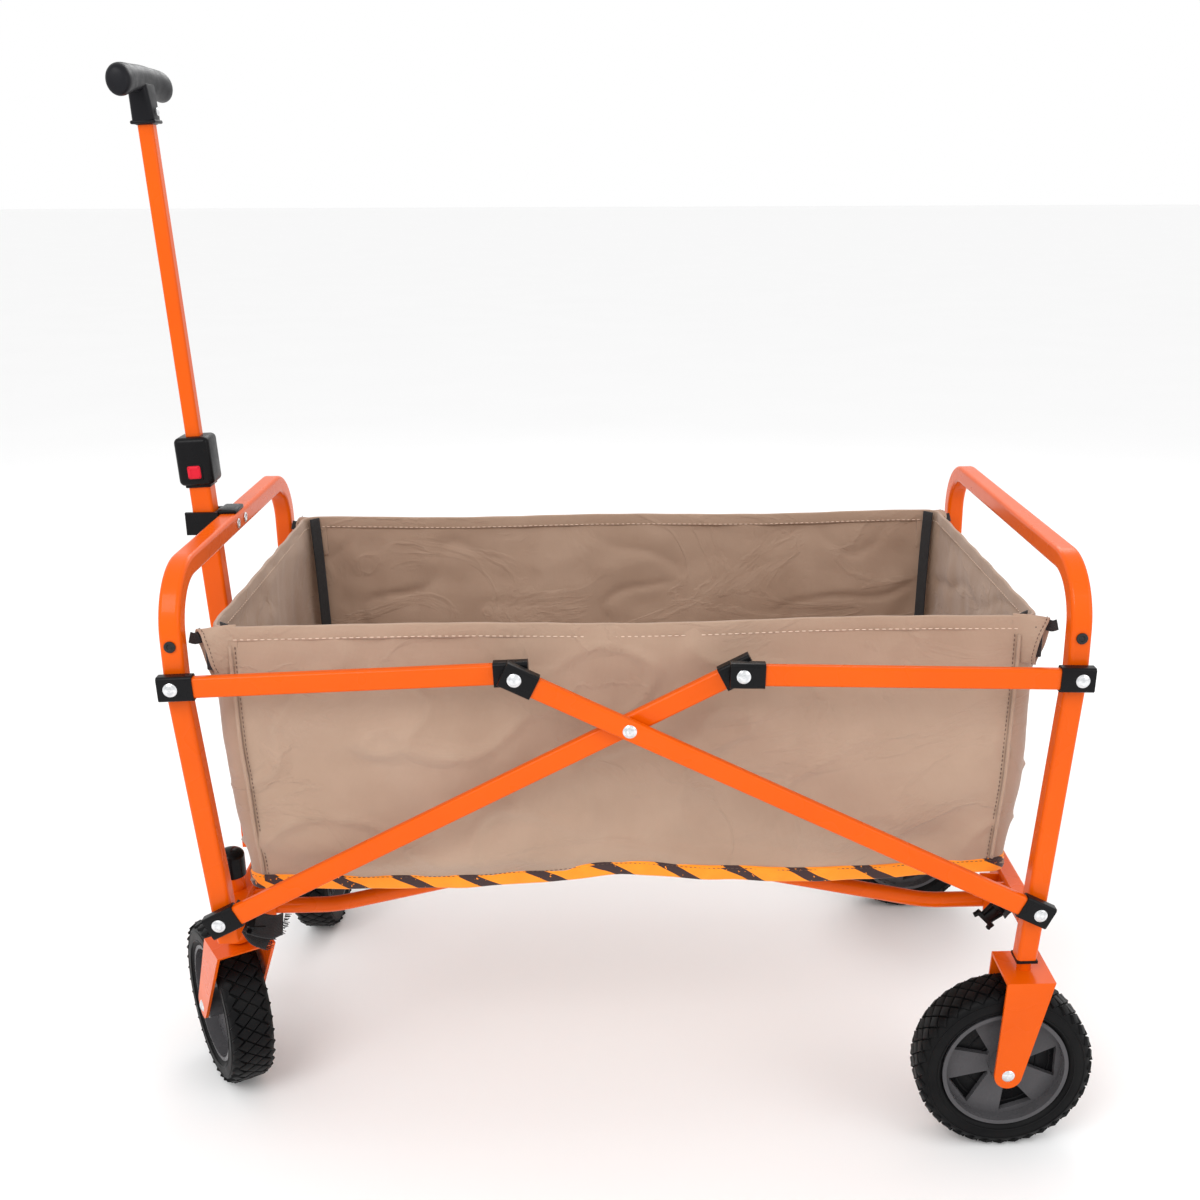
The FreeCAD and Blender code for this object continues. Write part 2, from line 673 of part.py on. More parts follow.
def placed(name, piece, x=ZERO, y=ZERO, z=ZERO, turn=ZERO, axis="0; 1; 0"):
    """One more copy of a piece, at a place and a turn of its own."""
    holder = doc.addObject("Part::Compound", name)
    holder.Links = [piece]
    return place(holder, x, y, z, turn, axis)


# ---------------------------------------------------------------- forks, wheels, casters
UPRIGHT = "0; 0; 1"


def tangent_angle(centre, radius, point, side):
    """Direction from a circle's centre to where a line from the point touches it."""
    dx, dz = point[0] - centre[0], point[1] - centre[1]
    return math.atan2(dz, dx) + side * math.acos(radius / math.hypot(dx, dz))


def fork(name, offset, stem_up):
    """Bent-sheet fork: swivel axis at the origin, top of the crown at z = 0, axle at -X."""
    half, drop, radius = size.crown_length / 2, size.crown_top_z - size.wheel_radius, size.fork_end_radius
    body = new_body(f"{name}_plates")
    sketch = new_sketch(body, "XZ_Plane", "outline")
    centre = (-offset.number, -drop.number)
    corners = [(-half.number, 0), (half.number, 0)]
    left = tangent_angle(centre, radius.number, corners[0], 1)
    right = tangent_angle(centre, radius.number, corners[1], -1)
    circle = Part.Circle(Vector(*centre, 0), Vector(0, 0, 1), radius.number)
    arc = Part.ArcOfCircle(circle, left, right + 2 * math.pi)
    top_left, top_right = (Vector(*corner, 0) for corner in corners)
    sketch.addGeometry(Part.LineSegment(top_left, top_right))
    sketch.addGeometry(Part.LineSegment(top_right, arc.EndPoint))
    sketch.addGeometry(arc)
    sketch.addGeometry(Part.LineSegment(arc.StartPoint, top_left))
    sketch.addConstraint(Sketcher.Constraint("Coincident", 0, 2, 1, 1))
    sketch.addConstraint(Sketcher.Constraint("Tangent", 1, 2, 2, 2))
    sketch.addConstraint(Sketcher.Constraint("Tangent", 2, 1, 3, 1))
    sketch.addConstraint(Sketcher.Constraint("Coincident", 3, 2, 0, 1))
    fix_point(sketch, 0, 1, -half, ZERO)
    fix_point(sketch, 0, 2, half, ZERO)
    fix_point(sketch, 2, 3, -offset, -drop)
    index = sketch.addConstraint(Sketcher.Constraint("Radius", 2, radius.number))
    sketch.setExpression(f"Constraints[{index}]", radius.text)
    pad(body, sketch, crown_width)
    gap_high = drop + radius * 2
    gap = block(f"{name}_gap", (size.crown_length + offset + radius) * 2,
                fork_room, gap_high, ZERO, ZERO,
                -size.fork_plate - gap_high / 2)
    hole = rod(f"{name}_axle_hole", size.bolt_radius, crown_width * 2, -offset, ZERO, -drop)
    plates = cut(f"{name}_bent", body, gap, hole)
    stem_long = stem_up + size.fork_plate
    stem = rod(f"{name}_stem", stem_radius, stem_long, z=stem_long / 2 - size.fork_plate, along="Z")
    return fuse(name, plates, stem)


def axle_bolt():
    shank = rod("axle_shank", size.bolt_radius, crown_width)
    heads = [dome(f"axle_head{side}", size.bolt_head_radius, size.bolt_head_high, ZERO,
                  crown_width / 2 * side, ZERO, side) for side in (NEAR, FAR)]
    return fuse("axle_bolt", shank, *heads)


def tyre():
    half, shoulder = size.tyre_width / 2, size.tyre_shoulder
    tread = size.wheel_radius
    seat = size.rim_width / 2
    return revolved("tyre", [(size.rim_radius, -seat), (size.rim_radius + 6, -half), (tread - shoulder, -half),
                             (tread, -half + shoulder * 0.7), (tread, half - shoulder * 0.7),
                             (tread - shoulder, half), (size.rim_radius + 6, half), (size.rim_radius, seat)])


def rim():
    """Hub, spoked disc and barrel in one moulding."""
    bore = size.bolt_radius + size.running_gap
    barrel = size.rim_radius - size.rim_wall
    hub, web, edge = hub_length / 2, size.web_width / 2, size.rim_width / 2
    half = [(bore, hub), (size.hub_radius, hub), (size.hub_radius, web), (barrel, web),
            (barrel, edge), (size.rim_radius, edge)]
    body = revolved("rim", [(radius, -along) for radius, along in half] + half[::-1])
    sketch = new_sketch(body, "XZ_Plane", "window")
    far_x = size.window_outer * cosine(size.window_half_angle)
    far_z = size.window_outer * sine(size.window_half_angle)
    tip = size.window_tip / 2
    polygon(sketch, [(size.window_inner, -tip), (far_x, -far_z), (far_x, far_z), (size.window_inner, tip)])
    window = body.newObject("PartDesign::Pocket", "rim_window")
    window.Profile = sketch
    window.SideType = "Symmetric"
    window.Type = "ThroughAll"
    doc.recompute()
    ring = body.newObject("PartDesign::PolarPattern", "rim_windows")
    ring.Originals = [window]
    ring.Axis = (sketch, ["N_Axis"])
    ring.Angle = 360
    ring.setExpression("Occurrences", size.window_count.text)
    body.Tip = ring
    return body


rear_fork = fork("rear_fork", size.rear_axle_offset, size.post_bottom_z - size.crown_top_z + size.rear_stem_up)
caster_fork = fork("caster_fork", size.caster_trail, size.head_top_z - size.crown_top_z + size.stem_over)
bolt, tyre_ring, rim_moulding = axle_bolt(), tyre(), rim()


def caster_place(side):
    """Swivel axis in plan, the turn of the fork, and the wheel centre in plan."""
    angle = size.near_caster_angle if side == NEAR else size.far_caster_angle
    x, y = -size.caster_x, size.caster_half_gap * side
    wheel_x = x + size.caster_trail * cosine(angle)
    wheel_y = y + size.caster_trail * sine(angle)
    return x, y, angle - 180, wheel_x, wheel_y


for word, side in (("near", NEAR), ("far", FAR)):
    x, y, turn, wheel_x, wheel_y = caster_place(side)
    keep(f"caster_fork_{word}", placed(f"caster_{word}", caster_fork, x, y, size.crown_top_z, turn, UPRIGHT))
    rear_y = rear_half_width * side
    keep(f"rear_fork_{word}", placed(f"rear_{word}", rear_fork, post_foot_x, rear_y, size.crown_top_z))
    spots = {"front": (wheel_x, wheel_y, size.wheel_radius, turn, UPRIGHT),
             "rear": (rear_axle_x, rear_y, size.wheel_radius)}
    for end, spot in spots.items():
        keep(f"{end}_tyre_{word}", placed(f"{end}_{word}_tyre", tyre_ring, *spot))
        keep(f"{end}_rim_{word}", placed(f"{end}_{word}_rim", rim_moulding, *spot))
        keep(f"{end}_axle_bolt_{word}", placed(f"{end}_{word}_bolt", bolt, *spot))

# A plug closes the foot of each rear post and holds the stem of its fork.
plug = block("plug_block", size.plug_size, size.plug_size, size.plug_high, post_foot_x,
             -rear_half_width, size.post_bottom_z - size.plug_high / 2)
plug_drill = rod("plug_drill", stem_radius, size.plug_high * 4, post_foot_x, -rear_half_width,
                 size.post_bottom_z, "Z")
keep("rear_post_plugs", both_sides("plugs", cut("plug", plug, plug_drill)))

head_high = size.head_top_z - size.head_bottom_z
head_middle = (size.head_top_z + size.head_bottom_z) / 2
head_place = (-size.caster_x, -size.caster_half_gap)
head_tube = cut("head", rod("head_outer", size.head_radius, head_high, *head_place, head_middle, "Z"),
                rod("head_bore", stem_radius + size.running_gap, head_high * 2, *head_place,
                    head_middle, "Z"))
keep("caster_head_tubes", both_sides("head_tubes", head_tube))
front_cross = nodes[[piece.Label for piece in nodes].index("front_cross_tube")]
saddle = rod("saddle", size.head_radius, head_high * 2, *head_place, head_middle, "Z")
nodes.remove(front_cross)
front_cross.Label = "front_cross_tube_plain"
keep("front_cross_tube", cut("front_cross_saddled", front_cross, saddle, mirror(saddle)))

cap_low = size.head_top_z - size.head_cap_sleeve
cap_straight = size.head_cap_high - size.head_cap_radius * 0.5
head_cap = fuse("head_cap_outside",
                rod("head_cap_side", size.head_cap_radius, cap_straight, *head_place,
                    cap_low + cap_straight / 2, "Z"),
                place(bind(doc.addObject("Part::Ellipsoid", "head_cap_dome"), Radius1=size.head_cap_radius * 0.6,
                           Radius2=size.head_cap_radius, Radius3=size.head_cap_radius),
                      *head_place, cap_low + cap_straight))
sleeve_bore = rod("head_cap_sleeve_bore", size.head_radius, size.head_cap_sleeve * 2, *head_place,
                  cap_low, "Z")
stem_room = rod("head_cap_stem_room", stem_radius + 1, size.stem_over * 2 + 2, *head_place,
                size.head_top_z + 1, "Z")
keep("caster_head_caps", both_sides("head_caps", cut("head_cap", head_cap, sleeve_bore, stem_room)))


# ---------------------------------------------------------------- floor rails
def round_wire(centre, radius, normal):
    return Part.Wire(Part.Circle(centre, normal, radius).toShape())


def rail_tube(name, end, half_gap):
    """One half of a floor rail on the near side, from its hinge to past mid length."""
    y = -half_gap.number
    route = [(size.rail_pivot_x + size.rail_end, size.rail_pivot_z), (size.rail_flat_x, size.rail_pivot_z),
             (size.rail_arch_x, size.rail_arch_z), (-size.rail_over, size.rail_knee_z)]
    points = [Vector(end * x.number, y, z.number) for x, z in route]
    path = bent_path(points, [size.rail_bend.number] * 2)
    along = (points[1] - points[0]).normalize()
    sections = [round_wire(points[0], size.rail_radius.number, along),
                round_wire(points[0], size.rail_radius.number - size.rail_wall.number, along)]
    return feature(name, swept(path, sections, Vector(0, 1, 0)))


def rail_half(word, end, half_gap):
    """Rails of one end, and their hinges: lugs on the cross tube, and a pin in each.

    The pin at mid length stays in the front rails, where this linkage is left open.
    """
    pivot_x = size.rail_pivot_x * end
    tube_y = -half_gap
    long = (size.rail_radius + size.lug_gap + size.lug_plate) * 2
    hinge = (pivot_x, tube_y, size.rail_pivot_z)
    drill = rod(f"{word}_rail_drill", size.rail_pin_radius + size.running_gap, long, *hinge)
    rail = cut(f"{word}_rail", rail_tube(f"{word}_rail_tube", end, half_gap), drill)
    rails = [rail]
    if end == FRONT:
        knee = (ZERO, tube_y, size.rail_knee_z)
        rails = [cut("front_rail_drilled", rail, rod("knee_drill", size.rail_pin_radius, long, *knee)),
                 rod("knee_pin", size.rail_pin_radius, size.rail_radius * 2, *knee)]
    keep(f"{word}_floor_rails", both_sides(f"{word}_rails", *rails))

    face_x = cross_tube_x - size.cross_tube_size / 2
    nose_x = size.rail_pivot_x - size.lug_nose
    lug_z = size.rail_pivot_z + (size.lug_up - size.lug_low) / 2
    offset = size.rail_radius + size.lug_gap + size.lug_plate / 2
    lugs = []
    for side in (NEAR, FAR):
        plate = block(f"{word}_lug{side}", face_x - nose_x, size.lug_plate, size.lug_up + size.lug_low,
                      (face_x + nose_x) / 2 * end, tube_y + offset * side, lug_z)
        lugs.append(cut(f"{word}_lug_drilled{side}", plate, rod(
            f"{word}_lug_drill{side}", size.rail_pin_radius, long * 2, *hinge)))
    lugs.append(rod(f"{word}_rail_pin", size.rail_pin_radius, long, *hinge))
    keep(f"{word}_rail_hinges", both_sides(f"{word}_lugs", *lugs))


rail_half("front", FRONT, size.rail_half_gap)
rail_half("rear", REAR, size.rail_half_gap + size.rail_radius * 2 + size.rail_side_gap)

# ---------------------------------------------------------------- handle
half_outer = size.outer_tube / 2
handle_spot = (-size.handle_x, ZERO, size.handle_z, -size.handle_lean)


def upright_tube(name, side, low, high, corner, wall):
    body = tube(name, "XY_Plane", side, side, corner, wall, high - low)
    return place(body, z=(low + high) / 2)


def on_handle(node, piece):
    """Keeps a piece that was made upright on the hinge."""
    return keep(node, placed(f"{node}_placed", piece, *handle_spot))


outer = upright_tube("outer_tube", size.outer_tube, -size.outer_tube_below, size.outer_tube_top,
                     size.handle_corner, size.tube_wall)
hinge_drill = rod("hinge_drill", size.hinge_pin_radius + size.running_gap, size.outer_tube * 2)
on_handle("handle_lower_tube", cut("outer_tube_drilled", outer, hinge_drill))

inner = upright_tube("inner_tube", size.inner_tube, size.inner_tube_low, size.inner_tube_high,
                     size.handle_corner, size.tube_wall)
on_handle("handle_upper_tube", inner)

collar_middle = (size.collar_low + size.collar_high) / 2
collar_body = tube("collar_body", "XY_Plane", size.collar_size, size.collar_width, size.collar_corner,
                   None, size.collar_high - size.collar_low)
place(collar_body, z=collar_middle)
lower_room = upright_tube("collar_lower_room", size.outer_tube, size.collar_low - 1, size.outer_tube_top,
                          size.handle_corner, None)
upper_room = upright_tube("collar_upper_room", size.inner_tube + size.collar_fit * 2, size.collar_low,
                          size.collar_high + 1, size.handle_corner, None)
button_z = size.collar_low + size.button_up
half_collar = size.collar_width / 2
button_room = rod("button_room", size.button_radius + size.running_gap, half_collar,
                  y=-half_outer - half_collar / 2, z=button_z)
on_handle("handle_collar", cut("collar", collar_body, lower_room, upper_room, button_room))
button_y = -(half_collar + size.button_out) + size.button_deep / 2
on_handle("handle_button", rod("button", size.button_radius, size.button_deep, y=button_y, z=button_z))

neck = upright_tube("neck", size.neck_size, size.neck_low, size.neck_high, size.handle_corner, None)
neck_room = upright_tube("neck_room", size.inner_tube, size.neck_low - 1, size.inner_tube_high,
                         size.handle_corner, None)
half_grip = size.grip_length / 2
grip_outline = [(half_grip * share, size.grip_radius + (size.grip_end_radius - size.grip_radius) * swell)
                for share, swell in ((0.35, 0.0), (0.6, 0.5), (0.78, 1.0), (0.93, 1.0), (1.0, 0.6))]
axis_end = [(ZERO, half_grip)]
far_side = [(radius, along) for along, radius in grip_outline]
near_side = [(radius, -along) for radius, along in reversed(far_side)]
grip = revolved("grip", [(ZERO, -half_grip)] + near_side + far_side + axis_end)
place(grip, z=size.grip_up)
on_handle("handle_grip", fuse("handle_grip_moulding", cut("neck_sleeve", neck, neck_room),
                              cut("grip_over_tube", grip, neck_room)))
screw_up = (size.neck_low + size.neck_high) / 2 - size.screw_radius * 0.4
neck_screw = placed("neck_screw", dome("neck_screw_head", size.rivet_head_radius * 0.6, size.screw_high,
                                       ZERO, ZERO, ZERO, NEAR),
                    size.neck_size / 2, ZERO, screw_up, Size(90), UPRIGHT)
on_handle("handle_neck_screw", neck_screw)

# Hinge bracket on the front cross tube
bracket_back = -cross_tube_x - size.cross_tube_size / 2
bracket_front = -size.handle_x - size.bracket_nose
cheek_y = half_outer + size.bracket_gap + size.bracket_plate / 2
cheek_long = bracket_back - bracket_front
cheeks = [block(f"cheek{side}", cheek_long, size.bracket_plate, size.bracket_high,
                (bracket_back + bracket_front) / 2, cheek_y * side, size.handle_z) for side in (NEAR, FAR)]
back = block("bracket_back", size.bracket_plate, (cheek_y + size.bracket_plate / 2) * 2, size.cross_tube_size * 0.8,
             bracket_back - size.bracket_plate / 2, ZERO, size.cross_tube_z)
pin_long = (cheek_y + size.bracket_plate / 2) * 2
pin_hole = rod("pin_hole", size.hinge_pin_radius, pin_long * 2, -size.handle_x, ZERO, size.handle_z)
keep("handle_bracket", cut("bracket", fuse("bracket_whole", *cheeks, back), pin_hole))
pin_heads = [dome(f"pin_head{side}", size.hinge_pin_radius + 3, size.rivet_head_high, -size.handle_x,
                  pin_long / 2 * side, size.handle_z, side) for side in (NEAR, FAR)]
keep("handle_hinge_pin", fuse("hinge_pin", rod("pin_shank", size.hinge_pin_radius, pin_long,
                                               -size.handle_x, ZERO, size.handle_z), *pin_heads))

# Open clip on the hoop bar
clip_back = -size.pivot_high_x - half_post
clip_body = block("clip_body", size.clip_reach, size.outer_tube + (size.clip_gap + size.clip_arm) * 2,
                  size.clip_high, clip_back - size.clip_reach / 2, ZERO, size.hoop_top_z)
clip_up = size.hoop_top_z - size.clip_high / 2 - size.handle_z
clip_room_back = -size.handle_x - clip_up * sine(size.handle_lean) / cosine(size.handle_lean) + half_outer
clip_room = block("clip_room", size.clip_reach * 2, size.outer_tube + size.clip_gap * 2, size.clip_high * 2,
                  clip_room_back + size.clip_gap - size.clip_reach, ZERO, size.hoop_top_z)
keep("handle_clip", cut("clip", clip_body, clip_room))
clip_screws = [placed(f"clip_screw{side}", dome(f"clip_screw_head{side}", size.screw_radius, size.screw_high,
                                                ZERO, ZERO, ZERO, NEAR),
                      -size.pivot_high_x + half_post, size.clip_screw_gap * side, size.hoop_top_z,
                      Size(90), UPRIGHT) for side in (NEAR, FAR)]
keep("clip_screws", group("clip_screws", *clip_screws))


# ---------------------------------------------------------------- bag
def panel(name, corners, thick, y):
    """A flat panel cut to an outline in X and Z."""
    body = new_body(name)
    sketch = new_sketch(body, "XZ_Plane", "outline")
    polygon(sketch, corners)
    pad(body, sketch, thick)
    return place(body, y=y)


wall = size.bag_wall
side_y = size.bag_half_width - wall / 2
taper = (size.bag_top_x - size.bag_low_x) / (size.bag_top_z - size.floor_z)
skirt_x = size.bag_low_x - (size.floor_z - size.bag_low_z) * taper
side_corners = [(-skirt_x, size.bag_low_z), (skirt_x, size.bag_low_z), (size.bag_top_x, size.bag_top_z),
                (-size.bag_top_x, size.bag_top_z)]
panels = [panel("side_near", side_corners, wall, -side_y), panel("side_far", side_corners, wall, side_y)]
end_width = (size.bag_half_width - wall - size.panel_gap) * 2
floor_top = size.floor_z + wall
above_floor_x = size.bag_low_x + (wall + size.panel_gap) * taper
for word, end in (("front", FRONT), ("rear", REAR)):
    outside = [(above_floor_x, floor_top + size.panel_gap), (size.bag_top_x, size.bag_top_z)]
    inside = [(size.bag_top_x - wall, size.bag_top_z), (above_floor_x - wall, floor_top + size.panel_gap)]
    corners = [(x * end, z) for x, z in outside + inside]
    panels.append(panel(f"end_{word}", corners, end_width, ZERO))
panels.append(block("floor", size.bag_low_x * 2, end_width, wall, ZERO, ZERO, size.floor_z + wall / 2))
keep("bag", group("bag", *panels))

mat_length = (above_floor_x - wall - size.mat_clear) * 2
board = (mat_length - size.mat_fold_gap * (size.mat_boards - 1)) / size.mat_boards
mat_z = floor_top + size.panel_gap + size.mat_thick / 2
boards = []
for number in range(int(size.mat_boards.number)):
    board_x = -mat_length / 2 + board / 2 + (board + size.mat_fold_gap) * number
    boards.append(block(f"board{number}", board, end_width - size.mat_clear * 2, size.mat_thick,
                        board_x, ZERO, mat_z))
keep("floor_mat", group("mat", *boards))

# ---------------------------------------------------------------- webbing and buckle
strap_z = size.bag_top_z - size.web_strap_wide
strap_room = size.pivot_high_x - half_post - size.bag_top_x
strap_long = strap_room - size.panel_gap * 2
for word, end, half_width in (("front", FRONT, size.front_half_width), ("rear", REAR, rear_half_width)):
    strap = block(f"{word}_strap", strap_long, size.web_strap_thick, size.web_strap_wide,
                  (size.bag_top_x + strap_room / 2) * end, -(size.bag_half_width + size.strap_out), strap_z)
    keep(f"{word}_corner_straps", both_sides(f"{word}_straps", strap))

tie_x = -cross_tube_x
tie_z = size.cross_tube_z - size.cross_tube_size / 2 - size.tie_hang / 2
keep("front_tie_strap", block("tie", size.tie_long, size.tie_wide, size.tie_hang, tie_x, -size.tie_y, tie_z))
buckle_z = size.cross_tube_z
web_x = cross_tube_x - size.cross_tube_size / 2 - size.buckle_web / 2
keep("buckle_strap", block("buckle_web", size.buckle_web, size.web_strap_wide, size.web_strap_thick, web_x,
                           -size.buckle_y, buckle_z))
keep("buckle", block("buckle_body", size.buckle_long, size.web_strap_wide + 4, size.buckle_thick,
                     web_x - size.buckle_web / 2 - size.buckle_long / 2, -size.buckle_y, buckle_z))

# ---------------------------------------------------------------- check and write
doc.recompute()
faults = []
for thing in doc.Objects:
    if "Invalid" in thing.State or "Error" in thing.State:
        faults.append(f"{thing.Name}: {thing.State}")
for piece in nodes:
    shape = piece.Shape
    if shape.isNull() or not shape.isValid() or not shape.Solids:
        faults.append(f"{piece.Label}: no valid solid")
if faults:
    raise RuntimeError("; ".join(faults))

whole = FreeCAD.BoundBox()
for piece in nodes:
    whole.add(piece.Shape.BoundBox)
origin_shift = Vector(-whole.Center.x, -whole.Center.y, 0)

if __name__ == "__main__":
    os.makedirs("parts", exist_ok=True)
    for piece in nodes:
        shape = piece.Shape.copy()
        shape.translate(origin_shift)
        shape.exportStep(f"parts/{piece.Label}.step")
    print(len(nodes), "nodes;", "moved by", origin_shift, "; size", whole.XLength, whole.YLength, whole.ZLength)
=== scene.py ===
import json
import math
import random
import bmesh
import bpy
from mathutils import Matrix, Vector, noise


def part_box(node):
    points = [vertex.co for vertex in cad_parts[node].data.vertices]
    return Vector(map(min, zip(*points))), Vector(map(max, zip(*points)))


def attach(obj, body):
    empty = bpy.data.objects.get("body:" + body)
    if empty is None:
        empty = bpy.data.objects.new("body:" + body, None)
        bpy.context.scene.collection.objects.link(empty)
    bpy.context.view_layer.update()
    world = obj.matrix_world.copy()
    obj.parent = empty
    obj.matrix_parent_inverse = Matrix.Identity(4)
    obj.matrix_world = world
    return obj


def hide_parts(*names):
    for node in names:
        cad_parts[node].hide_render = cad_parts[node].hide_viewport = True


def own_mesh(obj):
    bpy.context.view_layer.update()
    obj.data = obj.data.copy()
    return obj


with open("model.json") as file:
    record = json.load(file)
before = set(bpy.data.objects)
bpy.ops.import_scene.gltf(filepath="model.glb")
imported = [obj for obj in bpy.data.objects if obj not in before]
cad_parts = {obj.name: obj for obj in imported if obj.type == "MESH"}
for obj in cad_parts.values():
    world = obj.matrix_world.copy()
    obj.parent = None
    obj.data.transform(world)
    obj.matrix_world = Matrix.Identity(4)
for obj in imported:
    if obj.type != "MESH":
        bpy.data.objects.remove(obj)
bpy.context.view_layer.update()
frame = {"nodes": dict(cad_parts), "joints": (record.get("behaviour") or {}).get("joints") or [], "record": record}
nodes = frame["nodes"]
joints = {joint["name"]: joint for joint in frame["joints"]}
chance = random.Random(7)
MM = 0.001
TURN = math.tau


# ------------------------------------------------------------------ workshop
def deselect():
    bpy.ops.object.select_all(action="DESELECT")


def pick(piece):
    """This piece alone is selected and active."""
    deselect()
    piece.select_set(True)
    bpy.context.view_layer.objects.active = piece


def edit(piece):
    """Edit mode on the piece, with all of its faces selected."""
    pick(piece)
    bpy.ops.object.mode_set(mode="EDIT")
    bpy.ops.mesh.select_mode(type="FACE")
    bpy.ops.mesh.select_all(action="SELECT")


def leave():
    bpy.ops.object.mode_set(mode="OBJECT")


def select_faces(piece, wanted):
    """In edit mode, selects the faces for which wanted(face) holds."""
    shape = bmesh.from_edit_mesh(piece.data)
    for part in (shape.verts, shape.edges, shape.faces):
        for item in part:
            item.select = False
    for face in shape.faces:
        face.select_set(wanted(face))
    bmesh.update_edit_mesh(piece.data)


def settle(piece, name):
    """The piece's place goes into its mesh, and its object sits at the origin."""
    pick(piece)
    bpy.ops.object.transform_apply(location=True, rotation=True, scale=True)
    piece.name = piece.data.name = name
    return piece


def modify(piece, kind, **values):
    pick(piece)
    modifier = piece.modifiers.new(kind.title(), kind)
    for key, value in values.items():
        setattr(modifier, key, value)
    bpy.ops.object.modifier_apply(modifier=modifier.name)


def round_edges(piece, width, segments=2, angle=30):
    modify(piece, "BEVEL", width=width, segments=segments, limit_method="ANGLE",
           angle_limit=math.radians(angle))


def smooth(piece, angle=40):
    pick(piece)
    bpy.ops.object.shade_smooth_by_angle(angle=math.radians(angle))


def box(size, place, turn=(0, 0, 0)):
    deselect()
    bpy.ops.mesh.primitive_cube_add(size=1, location=place, rotation=turn)
    piece = bpy.context.active_object
    piece.scale = size
    bpy.ops.object.transform_apply(location=False, rotation=False, scale=True)
    return piece


def drum(radius, length, place, axis=(0, 0, 1), vertices=32):
    """A closed cylinder centred on place, along axis."""
    deselect()
    turn = Vector((0, 0, 1)).rotation_difference(Vector(axis)).to_euler()
    bpy.ops.mesh.primitive_cylinder_add(vertices=vertices, radius=radius, depth=length, location=place,
                                        rotation=turn)
    return bpy.context.active_object


def join(name, pieces):
    deselect()
    for piece in pieces:
        piece.select_set(True)
    bpy.context.view_layer.objects.active = pieces[0]
    if len(pieces) > 1:
        bpy.ops.object.join()
    return settle(bpy.context.active_object, name)


def copy_of(piece, matrix=None):
    twin = piece.copy()
    twin.data = piece.data.copy()
    bpy.context.collection.objects.link(twin)
    if matrix is not None:
        twin.data.transform(matrix)
    return twin


def discard(piece):
    bpy.data.objects.remove(piece)


def mesh_piece(name, points, faces):
    mesh = bpy.data.meshes.new(name)
    mesh.from_pydata([tuple(point) for point in points], [], faces)
    mesh.validate()
    piece = bpy.data.objects.new(name, mesh)
    bpy.context.collection.objects.link(piece)
    return piece


def outward(piece, merge=0.00001):
    edit(piece)
    bpy.ops.mesh.remove_doubles(threshold=merge)
    bpy.ops.mesh.normals_make_consistent(inside=False)
    leave()


def pick_open_edges(piece):
    """Edit mode with only the piece's open edges selected."""
    edit(piece)
    bpy.ops.mesh.select_all(action="DESELECT")
    bpy.ops.mesh.select_mode(type="EDGE")
    bpy.ops.mesh.select_non_manifold()


def close_ends(piece, sides):
    pick_open_edges(piece)
    bpy.ops.mesh.fill_holes(sides=sides)
    leave()


def tidy_soft(piece, merge=0.00001):
    outward(piece, merge)
    for face in piece.data.polygons:
        face.use_smooth = True


def grid(name, rows, close_across=False, close_along=False):
    """A sheet of quads through rows of points, with a map in metres."""
    across, along = len(rows[0]), len(rows)
    points = [point for row in rows for point in row]
    faces, maps = [], []
    along_at, across_at = [0.0], [0.0]
    for a, b in zip(rows, rows[1:] + rows[:1]):
        along_at.append(along_at[-1] + (Vector(b[0]) - Vector(a[0])).length)
    middle = rows[along // 2]
    for a, b in zip(middle, middle[1:] + middle[:1]):
        across_at.append(across_at[-1] + (Vector(b) - Vector(a)).length)
    for i in range(along if close_along else along - 1):
        for j in range(across if close_across else across - 1):
            ni, nj = (i + 1) % along, (j + 1) % across
            faces.append((i * across + j, i * across + nj, ni * across + nj, ni * across + j))
            u, v = across_at, along_at
            maps += [(u[j], v[i]), (u[j + 1], v[i]), (u[j + 1], v[i + 1]), (u[j], v[i + 1])]
    piece = mesh_piece(name, points, faces)
    layer = piece.data.uv_layers.new(name="cloth")
    for loop, place in zip(layer.data, maps):
        loop.uv = place
    return piece


def ribbon(name, path, width, thick, across, segments=1):
    """A flat strap along a path of points, whose width lies along across."""
    path = [Vector(point) for point in path]
    rows = []
    for i, point in enumerate(path):
        ahead = path[min(i + 1, len(path) - 1)] - path[max(i - 1, 0)]
        side = Vector(across)
        side = (side - ahead.normalized() * side.dot(ahead.normalized())).normalized()
        rows.append([point + side * width * (k / 6 - 0.5) for k in range(7)])
    piece = grid(name, rows)
    modify(piece, "SOLIDIFY", thickness=thick, offset=0)
    round_edges(piece, thick * 0.3, segments)
    smooth(piece, 50)
    return piece


def curve_line(points, steps):
    """Even points on a smooth line through a few points."""
    points = [Vector(point) for point in points]
    ends = [points[0] * 2 - points[1]] + points + [points[-1] * 2 - points[-2]]
    line = []
    for i in range(1, len(ends) - 2):
        a, b, c, d = ends[i - 1:i + 3]
        for k in range(steps):
            t = k / steps
            line.append(0.5 * (2 * b + (c - a) * t + (2 * a - 5 * b + 4 * c - d) * t * t
                               + (3 * b - a - 3 * c + d) * t ** 3))
    return line + [points[-1]]


